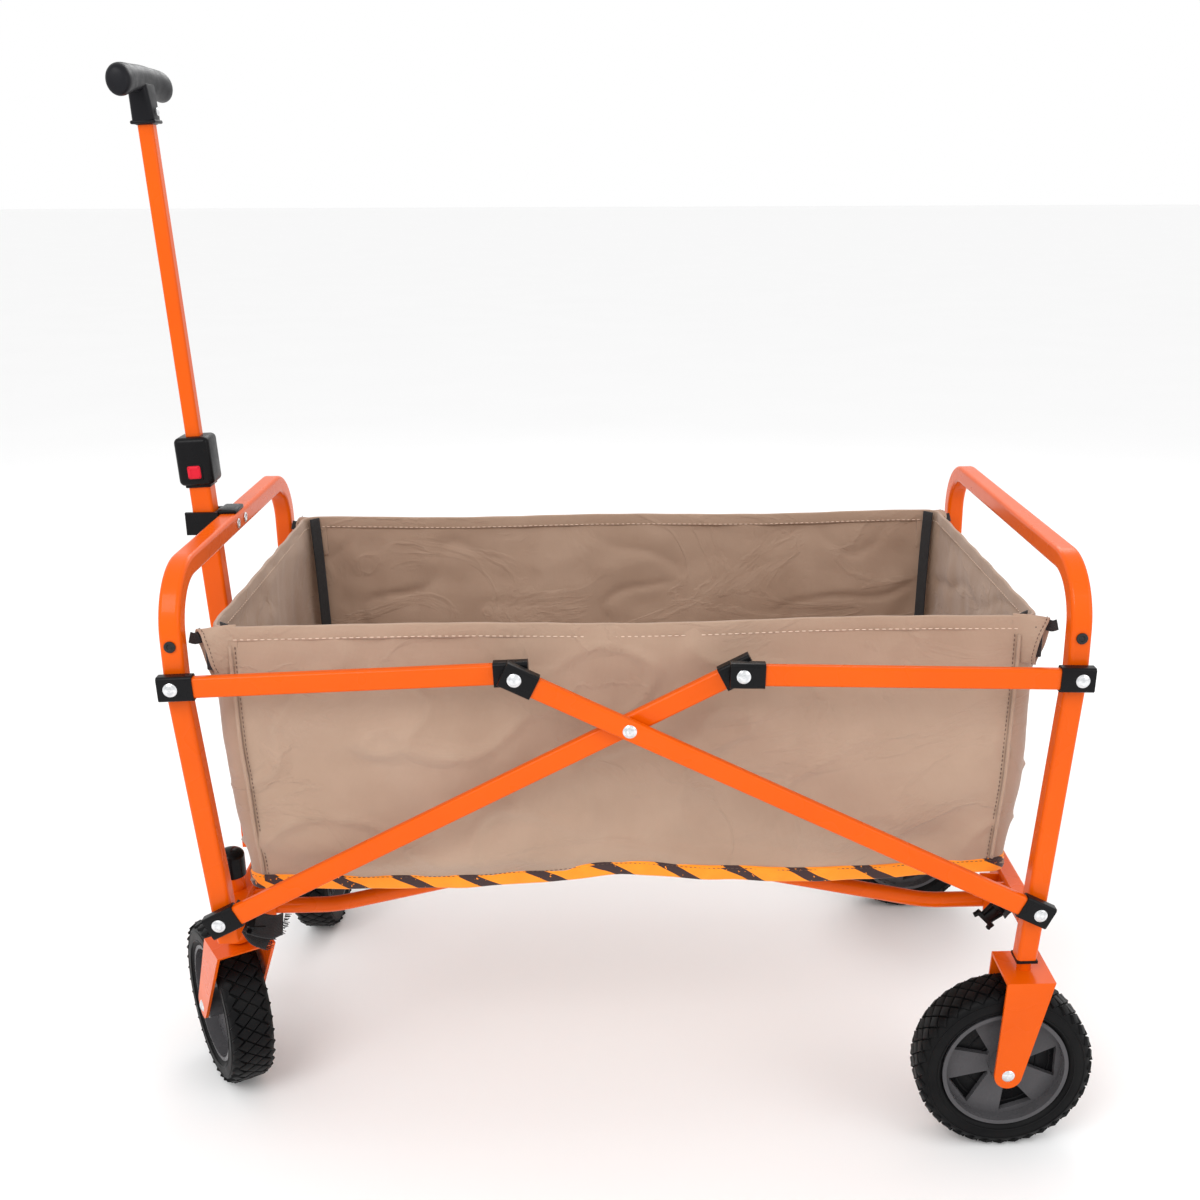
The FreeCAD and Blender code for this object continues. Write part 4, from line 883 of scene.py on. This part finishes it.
# Webbing down the inside of each corner, with a sewn tack near its top
WEBBING_LINE = [(0.004, 0.0, 0.5575), (0.007, 0.002, 0.50), (0.010, 0.006, 0.42), (0.012, 0.004, 0.35),
                (0.016, 0.003, 0.309)]
corner_webs, tacks = [], []
for sx in (-1, 1):
    for sy in (-1, 1):
        reach = 0.008 if sy > 0 else 0.007
        spine = [Vector((CENTRE_X + sx * (TOP_HALF_X - reach - inset_x),
                         CENTRE_Y + sy * (HALF_Y - reach - inset_y), z))
                 for inset_x, inset_y, z in WEBBING_LINE]
        web = ribbon(f"corner_web_{sx}_{sy}", curve_line(spine, 10), 0.0135, 0.0014, (sy, -sx, 0))
        corner_webs.append(web)
        inward = Vector((-sx, -sy, 0)).normalized()
        for row in range(3):
            at = spine[0] + inward * 0.0011 + Vector((0, 0, -0.017 - row * 0.0022))
            tack = box((0.0125, 0.0009, 0.0009), at, (0, 0, math.atan2(-sx, sy)))
            round_edges(tack, 0.0002)
            tacks.append(settle(tack, f"tack_{sx}_{sy}_{row}"))
webs = join("corner_webbing", corner_webs)
fold_with_frame(webs, WEBBING)
bar_tacks = join("corner_bar_tacks", tacks)
fold_with_frame(bar_tacks, THREAD)


# ------------------------------------------------------------------ straps on the frame
def corner_loops(node, name, body):
    """The two short webbings between the bag's upper corners and the posts of one hoop."""
    low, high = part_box(node)
    loops = []
    for y in (low.y + 0.0008, high.y - 0.0008):
        width = (high.z - low.z) * 0.55
        middle = high.z - width / 2
        out = 0.0016 if y > CENTRE_Y else -0.0016
        path = curve_line([(low.x + 0.0008, y, middle),
                           ((low.x + high.x) / 2, y + out * 0.3, middle - 0.0012),
                           (high.x - 0.0006, y, middle)], 6)
        loops.append(ribbon(f"{name}_{y:.2f}", path, width, 0.0014, (0, 0, 1)))
    loop = join(name, loops)
    give(loop, body, WEBBING)
    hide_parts(node)


corner_loops("front_corner_straps", "front_corner_loops", "front_frame")
corner_loops("rear_corner_straps", "rear_corner_loops", "rear_frame")

# The side-release buckle's male half hangs on a short webbing from the rear post
strap_low, strap_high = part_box("buckle_strap")
strap_y = (strap_low.y + strap_high.y) / 2
strap = ribbon("buckle_webbing", curve_line([(strap_high.x + 0.0005, strap_y, strap_high.z + 0.004),
                                             (strap_high.x - 0.006, strap_y - 0.001, strap_high.z + 0.002),
                                             (strap_low.x - 0.003, strap_y, strap_low.z - 0.004)], 8),
               0.019, 0.0015, (0.1, 1, 0.2))
give(strap, "rear_frame", WEBBING)
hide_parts("buckle_strap")


def buckle_male():
    """Ladder plate, waist, and the cross end with its two sprung prongs."""
    pieces = [box((0.0032, 0.026, 0.0042), (0, 0, 0)), box((0.0032, 0.026, 0.0042), (0.0085, 0, 0)),
              box((0.0115, 0.003, 0.0042), (0.0043, 0.0115, 0)),
              box((0.0115, 0.003, 0.0042), (0.0043, -0.0115, 0)),
              box((0.0052, 0.022, 0.0065), (0.0125, 0, 0)), box((0.016, 0.0095, 0.0046), (0.0215, 0, 0)),
              box((0.0046, 0.0255, 0.0052), (0.0305, 0, 0))]
    for side in (1, -1):
        pieces.append(box((0.0150, 0.0026, 0.0036), (0.0225, side * 0.0078, 0), (0, 0, -side * 0.16)))
        pieces.append(box((0.0055, 0.0036, 0.0046), (0.0335, side * 0.0112, 0), (0, 0, side * 0.3)))
    for piece in pieces:
        round_edges(piece, 0.0007)
    return join("buckle_male_half", pieces)


buckle = buckle_male()
buckle_low, buckle_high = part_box("buckle")
hang = (Matrix.Translation((buckle_high.x + 0.002, strap_y, (buckle_low.z + buckle_high.z) / 2 + 0.010))
        @ Matrix.Rotation(math.radians(-42), 4, "Y") @ Matrix.Rotation(math.pi, 4, "Z")
        @ Matrix.Rotation(math.radians(82), 4, "X"))
buckle.data.transform(hang)
smooth(buckle, 35)
give(buckle, "rear_frame", PLASTIC)
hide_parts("buckle")

# A webbing end hangs over the near caster, drawn in by a cable tie, with a frayed end
tie_low, tie_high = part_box("front_tie_strap")
tie_x, tie_y = (tie_low.x + tie_high.x) / 2, (tie_low.y + tie_high.y) / 2
TIE_LIE, UNDER_LIE = (0.12, 1, 0.75), (0.3, 1, 0.6)
TIE_THICK, FRAY_WIDE, FIBRES = 0.0018, 0.021, 24
tie_line = curve_line([(tie_x - 0.004, tie_y - 0.004, tie_high.z + 0.016),
                       (tie_x + 0.006, tie_y - 0.003, tie_high.z + 0.008),
                       (tie_x + 0.018, tie_y - 0.001, tie_high.z - 0.002),
                       (tie_x + 0.033, tie_y + 0.001, tie_high.z - 0.007),
                       (tie_x + 0.044, tie_y, tie_high.z - 0.003)], 7)
tie = ribbon("tie_webbing", tie_line, 0.025, TIE_THICK, TIE_LIE)
under_line = curve_line([(tie_x + 0.004, tie_y + 0.002, tie_high.z + 0.006),
                         (tie_x + 0.014, tie_y + 0.003, tie_low.z + 0.018),
                         (tie_x + 0.028, tie_y + 0.003, tie_low.z + 0.010)], 8)
under = ribbon("tie_under", under_line, 0.021, TIE_THICK, UNDER_LIE)
frays = []
for line, lie in ((tie_line, TIE_LIE), (under_line, UNDER_LIE)):
    for k in range(FIBRES):
        root = line[-1] + Vector(lie).normalized() * (k / (FIBRES - 1) - 0.5) * FRAY_WIDE
        tip = root + Vector((chance.uniform(0.002, 0.007), chance.uniform(-0.002, 0.002),
                             chance.uniform(-0.003, 0.002)))
        fibre = drum(0.00035, (tip - root).length, (tip + root) / 2, tip - root, 6)
        frays.append(settle(fibre, f"fibre_{k}"))
tie = join("tie_webbing", [tie, under] + frays)
give(tie, "front_frame", WEBBING)
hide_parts("front_tie_strap")
tie_waist = tie_line[12]
collar = box((0.0045, 0.027, 0.0034), tie_waist, (0.6, 0.4, 0.1))
lock = box((0.0065, 0.0065, 0.0065), tie_waist + Vector((0.001, -0.0095, 0.002)), (0.6, 0.4, 0.1))
tail = box((0.016, 0.0026, 0.0012), tie_waist + Vector((0.008, -0.011, 0.001)), (0.1, 0.15, 0.3))
for piece in (collar, lock, tail):
    round_edges(piece, 0.0005)
cable_tie = join("cable_tie", [collar, lock, tail])
give(cable_tie, "front_frame", PLASTIC)


# ------------------------------------------------------------------ screws
def socket_head(radius, high):
    """A button head along +Z with its foot at the origin and a six-sided socket."""
    head = drum(radius, high, (0, 0, high / 2), vertices=24)
    edit(head)
    select_faces(head, lambda face: face.normal.z > 0.9)
    bpy.ops.mesh.inset(thickness=radius * 0.42)
    shape = bmesh.from_edit_mesh(head.data)
    for face in shape.faces:
        if face.select:
            for vertex in face.verts:
                angle = math.atan2(vertex.co.y, vertex.co.x)
                wedge = (angle % (TURN / 6)) - TURN / 12
                reach = radius * 0.46 / math.cos(wedge)
                vertex.co.x, vertex.co.y = reach * math.cos(angle), reach * math.sin(angle)
    bmesh.update_edit_mesh(head.data)
    bpy.ops.mesh.extrude_region_move(TRANSFORM_OT_translate={"value": (0, 0, -high * 0.6)})
    leave()
    settle(head, "socket_head")
    round_edges(head, high * 0.3, 3, 50)
    smooth(head, 40)
    return head


def screws_for(node, name, body, slot, radius, high, sides):
    """Socket screws in place of a node's plain heads, one at each (place, direction)."""
    pattern = socket_head(radius, high)
    turned = []
    for place, direction in sides:
        turn = Vector((0, 0, 1)).rotation_difference(Vector(direction)).to_matrix().to_4x4()
        turned.append(copy_of(pattern, Matrix.Translation(place) @ turn))
    discard(pattern)
    screws = join(name, turned)
    give(screws, body, SLOT_FINISH[slot])
    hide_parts(node)


for word in ("front", "rear"):
    low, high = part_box(f"{word}_hoop_screws")
    spots = [(Vector(((low.x + high.x) / 2, y, (low.z + high.z) / 2)), (0, side, 0))
             for y, side in ((low.y + 0.002, -1), (high.y - 0.002, 1))]
    screws_for(f"{word}_hoop_screws", f"{word}_socket_screws", f"{word}_frame", "black_screw", 0.0054, 0.002,
               spots)

low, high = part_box("clip_screws")
spots = [(Vector((low.x, y, (low.z + high.z) / 2)), (1, 0, 0)) for y in (low.y + 0.0055, high.y - 0.0055)]
screws_for("clip_screws", "clip_socket_screws", "front_frame", "zinc", 0.0052, high.x - low.x, spots)


# ------------------------------------------------------------------ tyres
# Half of the tyre's section, from bead to crown: radius and distance from the middle, in mm
TYRE_SECTION = [(64.2, 17.0), (66.5, 19.2), (68.5, 21.6), (70.5, 22.4), (73.0, 22.6), (77.0, 22.5),
                (80.0, 22.1), (82.6, 21.2), (84.9, 19.4), (86.4, 16.5), (87.3, 11.0), (87.6, 5.0), (87.6, 0.0)]
TYRE_STEPS = 96
PITCHES = 36
# Each row of lugs: y, radius of its foot, width, length, height in mm, and its stagger in pitches
LUG_ROWS = [(0.0, 87.2, 17.4, 14.6, 2.4, 0.0), (8.9, 87.0, 17.2, 14.6, 2.4, 0.5),
            (-8.9, 87.0, 17.2, 14.6, 2.4, 0.5), (16.9, 85.3, 13.0, 13.6, 2.6, 0.0),
            (-16.9, 85.3, 13.0, 13.6, 2.6, 0.0)]


def tread_block(width, length, high):
    """One four-cornered lug of the tread on the +Z side of the wheel, narrower at its top."""
    block = drum(0.5, 1, (0, 0, 0), vertices=4)
    edit(block)
    select_faces(block, lambda face: face.normal.z > 0.9)
    bpy.ops.transform.resize(value=(0.92, 0.92, 1))
    bpy.ops.mesh.inset(thickness=0.04)
    bpy.ops.transform.translate(value=(0, 0, 0.1))
    leave()
    edit(block)
    select_faces(block, lambda face: face.normal.z < -0.9)
    bpy.ops.mesh.delete(type="FACE")
    leave()
    block.scale = (length, width, high)
    bpy.ops.object.transform_apply(scale=True)
    return block


def tyre_pattern():
    """A whole tyre about the Y axis: carcass turned from its section, then the lugs."""
    section = [(r * MM, y * MM) for r, y in TYRE_SECTION]
    section = section + [(r, -y) for r, y in reversed(section[:-1])]
    rows = []
    for k in range(TYRE_STEPS):
        a = k * TURN / TYRE_STEPS
        rows.append([Vector((r * math.sin(a), y, r * math.cos(a))) for r, y in section])
    carcass = grid("carcass", rows, close_across=True, close_along=True)
    outward(carcass)
    smooth(carcass, 50)
    parts = [carcass]
    for y, radius, width, length, high, stagger in LUG_ROWS:
        lug = tread_block(width * MM, length * MM, high * MM)
        tilt = Matrix.Rotation(-math.copysign(math.radians(24), y) if abs(y) > 15 else 0, 4, "X")
        lift = Matrix.Translation((0, y * MM, (radius + high / 2) * MM))
        for k in range(PITCHES):
            a = (k + stagger) * TURN / PITCHES
            parts.append(copy_of(lug, Matrix.Rotation(a, 4, "Y") @ lift @ tilt))
        discard(lug)
    for side in (1, -1):
        for radius, tube in ((69.4, 0.9), (79.6, 0.7)):
            deselect()
            bpy.ops.mesh.primitive_torus_add(major_radius=radius * MM, minor_radius=tube * MM,
                                             major_segments=96, minor_segments=8, location=(0, side * 22.1 * MM, 0),
                                             rotation=(math.pi / 2, 0, 0))
            ring = bpy.context.active_object
            settle(ring, "side_ring")
            parts.append(ring)
    tyre = join("tyre_pattern", parts)
    smooth(tyre, 35)
    return tyre


def wheels():
    """Each wheel's end and side, and the turn of its axle from the Y axis."""
    for end in ("front", "rear"):
        for word in ("near", "far"):
            axis = Vector(joints[f"{end}_wheel_{word}_spin"]["axis"])
            yield end, word, Vector((0, 1, 0)).rotation_difference(axis).to_matrix().to_4x4()


pattern = tyre_pattern()
for end, word, turn in wheels():
    node = f"{end}_tyre_{word}"
    low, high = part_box(node)
    tyre = copy_of(pattern, Matrix.Translation((low + high) / 2) @ turn)
    tyre.name = tyre.data.name = f"{end}_treaded_tyre_{word}"
    give(tyre, f"{end}_wheel_{word}", RUBBER)
    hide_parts(node)
discard(pattern)

# A dark web closes the middle of each rim, behind its spokes
web = drum(0.0585, 0.0022, (0, 0, 0), (0, 1, 0), 64)
round_edges(web, 0.0004)
for side in (1, -1):
    for radius, tube in ((0.050, 0.0011), (0.036, 0.0009), (0.022, 0.0012)):
        deselect()
        bpy.ops.mesh.primitive_torus_add(major_radius=radius, minor_radius=tube, major_segments=72,
                                         minor_segments=8, location=(0, side * 0.0011, 0),
                                         rotation=(math.pi / 2, 0, 0))
        web = join("wheel_web", [web, settle(bpy.context.active_object, "web_ring")])
smooth(web, 35)
for end, word, turn in wheels():
    low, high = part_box(f"{end}_rim_{word}")
    disc = copy_of(web, Matrix.Translation((low + high) / 2) @ turn)
    disc.name = disc.data.name = f"{end}_wheel_web_{word}"
    give(disc, f"{end}_wheel_{word}", PLASTIC)
discard(web)


# ------------------------------------------------------------------ moulded parts with rounder corners
def rounded_caps(node, body):
    """A copy of a node's end caps with their sharp corners rounded, in its place."""
    piece = copy_of(nodes[node])
    piece.parent = None
    for key in list(piece.keys()):
        del piece[key]
    outward(piece)
    edit(piece)
    bpy.ops.mesh.dissolve_limited(angle_limit=math.radians(2))
    leave()
    modify(piece, "BEVEL", width=0.0024, segments=3, limit_method="ANGLE", angle_limit=math.radians(50),
           use_clamp_overlap=True)
    settle(piece, f"rounded_{node}")
    smooth(piece, 35)
    give(piece, body, PLASTIC)
    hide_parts(node)


for node, body in (("scissor_bar_a_caps", "scissor_bars_a"), ("scissor_bar_b_caps", "scissor_bars_b"),
                   ("front_side_link_caps", "front_links"), ("rear_side_link_caps", "rear_links")):
    rounded_caps(node, body)

# ------------------------------------------------------------------ handle
slide_up = Vector(joints["handle_slide"]["axis"]).normalized()
hinge_place = Vector(joints["handle_tilt"]["pos_m"])
lean_turn = Vector((0, 0, 1)).rotation_difference(slide_up).to_matrix().to_4x4()


def on_handle(piece, name):
    """Moves a piece made about the handle's hinge, upright, to where the handle stands."""
    settle(piece, name)
    piece.data.transform(Matrix.Translation(hinge_place) @ lean_turn)
    return piece


collar_low, collar_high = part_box("handle_collar")
collar_middle = ((collar_low + collar_high) / 2 - hinge_place).dot(slide_up)
collar_block = box((0.0360, 0.0352, 0.0504), (0, 0, collar_middle))
round_edges(collar_block, 0.0055, 5)
lip = box((0.0262, 0.0262, 0.0035), (0, 0, collar_middle - 0.0262))
round_edges(lip, 0.0012)
button_middle = collar_middle - 0.0105
frame_ring = box((0.0168, 0.0015, 0.0168), (0, -0.0177, button_middle))
round_edges(frame_ring, 0.0009, 3)
collar = join("handle_collar_moulding", [collar_block, lip, frame_ring])
on_handle(collar, "handle_collar_moulding")
smooth(collar, 40)
give(collar, "handle", PLASTIC)
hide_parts("handle_collar")

button = box((0.0136, 0.0046, 0.0136), (0, -0.0182, button_middle))
round_edges(button, 0.0021, 4)
edit(button)
select_faces(button, lambda face: face.normal.y < -0.9)
bpy.ops.mesh.inset(thickness=0.0024)
bpy.ops.transform.translate(value=(0, 0.0006, 0))
leave()
on_handle(button, "red_push_button")
smooth(button, 40)
give(button, "handle_button", BUTTON)
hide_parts("handle_button")


def grip_moulding():
    """T-grip: a bar with rounded ends that drop a little, on a short tapering neck."""
    low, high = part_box("handle_grip")
    half = (high.y - low.y) / 2
    top = (Vector(((low.x + high.x) / 2, 0, high.z)) - hinge_place).dot(slide_up)
    profile = [(-1.0, 0.30), (-0.99, 0.62), (-0.965, 0.86), (-0.92, 0.97), (-0.86, 1.0), (-0.78, 0.99),
               (-0.64, 0.93), (-0.48, 0.86), (-0.30, 0.82), (-0.12, 0.83)]
    profile = profile + [(-y, r) for y, r in reversed(profile)]
    rows = []
    for y, r in profile:
        drop = 0.0060 * y * y
        rows.append([Vector((0.0122 * r * math.cos(a), y * half,
                             top - 0.0127 - drop + 0.0150 * r * math.sin(a)))
                     for a in (k * TURN / 28 for k in range(28))])
    bar = grid("grip_bar", rows, close_across=True)
    close_ends(bar, 40)
    outward(bar)
    modify(bar, "SUBSURF", levels=1, render_levels=1)
    neck_low = (Vector(((low.x + high.x) / 2, 0, low.z)) - hinge_place).dot(slide_up)
    neck_high = top - 0.0150
    neck = box((0.0225, 0.0225, neck_high - neck_low), (0, 0, (neck_high + neck_low) / 2))
    edit(neck)
    select_faces(neck, lambda face: face.normal.z > 0.9)
    bpy.ops.transform.resize(value=(0.80, 1.45, 1))
    leave()
    round_edges(neck, 0.0048, 5)
    rib = box((0.0245, 0.0245, 0.0035), (0, 0, neck_low + 0.0028))
    round_edges(rib, 0.0014, 3)
    return join("grip_moulding", [bar, neck, rib])


grip = on_handle(grip_moulding(), "t_grip_moulding")
smooth(grip, 45)
give(grip, "handle_upper", GRIP)
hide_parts("handle_grip")

# The clip's saddle lies on top of the hoop bar
clip_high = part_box("handle_clip")[1]
hoop_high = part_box("front_hoop")[1]
saddle = box((0.0195, 0.032, 0.0036), (clip_high.x + 0.0088, CENTRE_Y + 0.002, hoop_high.z + 0.0016))
edit(saddle)
select_faces(saddle, lambda face: face.normal.z > 0.9)
bpy.ops.mesh.inset(thickness=0.0030)
bpy.ops.transform.translate(value=(0, 0, 0.0011))
leave()
round_edges(saddle, 0.0010, 3)
settle(saddle, "clip_saddle")
smooth(saddle, 40)
give(saddle, "front_frame", PLASTIC)

# What the sewn sheets were cut to
columns = range(len(FOOT_RING))
wall_round = sum((wall_point(i, 0.5) - wall_point(i - 1, 0.5)).length for i in columns)
wall_height = sum((wall_point(i, 1) - wall_point(i, 0)).length for i in columns) / len(columns)

# ------------------------------------------------------------------ studio
deselect()
bpy.ops.mesh.primitive_plane_add(size=90, location=(0, 0, -0.0005))
floor = bpy.context.active_object
floor.name = "studio_floor"
sweep = Finish("pale_floor", 0.9, level=0.1)
sweep.colour(sweep.mix(sweep.noise(2, 2), (0.93, 0.93, 0.93), (0.95, 0.95, 0.95)))
coat(floor, sweep.material)

world = bpy.data.worlds.new("studio")
bpy.context.scene.world = world
world.use_nodes = True
world.node_tree.nodes["Background"].inputs["Color"].default_value = (1, 1, 1, 1)
world.node_tree.nodes["Background"].inputs["Strength"].default_value = 1.0


def soft_light(name, place, aim, size, power):
    light = bpy.data.lights.new(name, "AREA")
    light.shape = "RECTANGLE"
    light.size, light.size_y = size
    light.energy = power
    holder = bpy.data.objects.new(name, light)
    bpy.context.scene.collection.objects.link(holder)
    holder.location = place
    holder.rotation_euler = (Vector(aim) - Vector(place)).to_track_quat("-Z", "Y").to_euler()


soft_light("key_light", (-1.1, -2.0, 2.3), (0, 0, 0.35), (1.6, 1.2), 30)
soft_light("fill_light", (1.9, -1.6, 1.5), (0, 0, 0.3), (1.4, 1.6), 11)
soft_light("back_light", (0.3, 2.2, 2.2), (0, 0, 0.4), (2.2, 1.0), 20)

lens = bpy.data.cameras.new("view")
camera = bpy.data.objects.new("view", lens)
bpy.context.scene.collection.objects.link(camera)
bpy.context.scene.camera = camera
YAW, PITCH, ROLL = math.radians(2.059), math.radians(17.129), math.radians(-0.182)
forward = Vector((math.sin(YAW) * math.cos(PITCH), math.cos(YAW) * math.cos(PITCH), -math.sin(PITCH)))
level = Vector((math.cos(YAW), -math.sin(YAW), 0))
above = level.cross(forward)
right = level * math.cos(ROLL) + above * math.sin(ROLL)
above = above * math.cos(ROLL) - level * math.sin(ROLL)
turn = Matrix((right, above, -forward)).transposed().to_4x4()
camera.matrix_world = Matrix.Translation((0.0078, -1.4457, 0.9528)) @ turn
lens.lens = 41.0
lens.sensor_width = 36
lens.shift_x, lens.shift_y = -0.0519, -0.0022
lens.clip_end = 60
bpy.context.scene.view_settings.view_transform = "Standard"
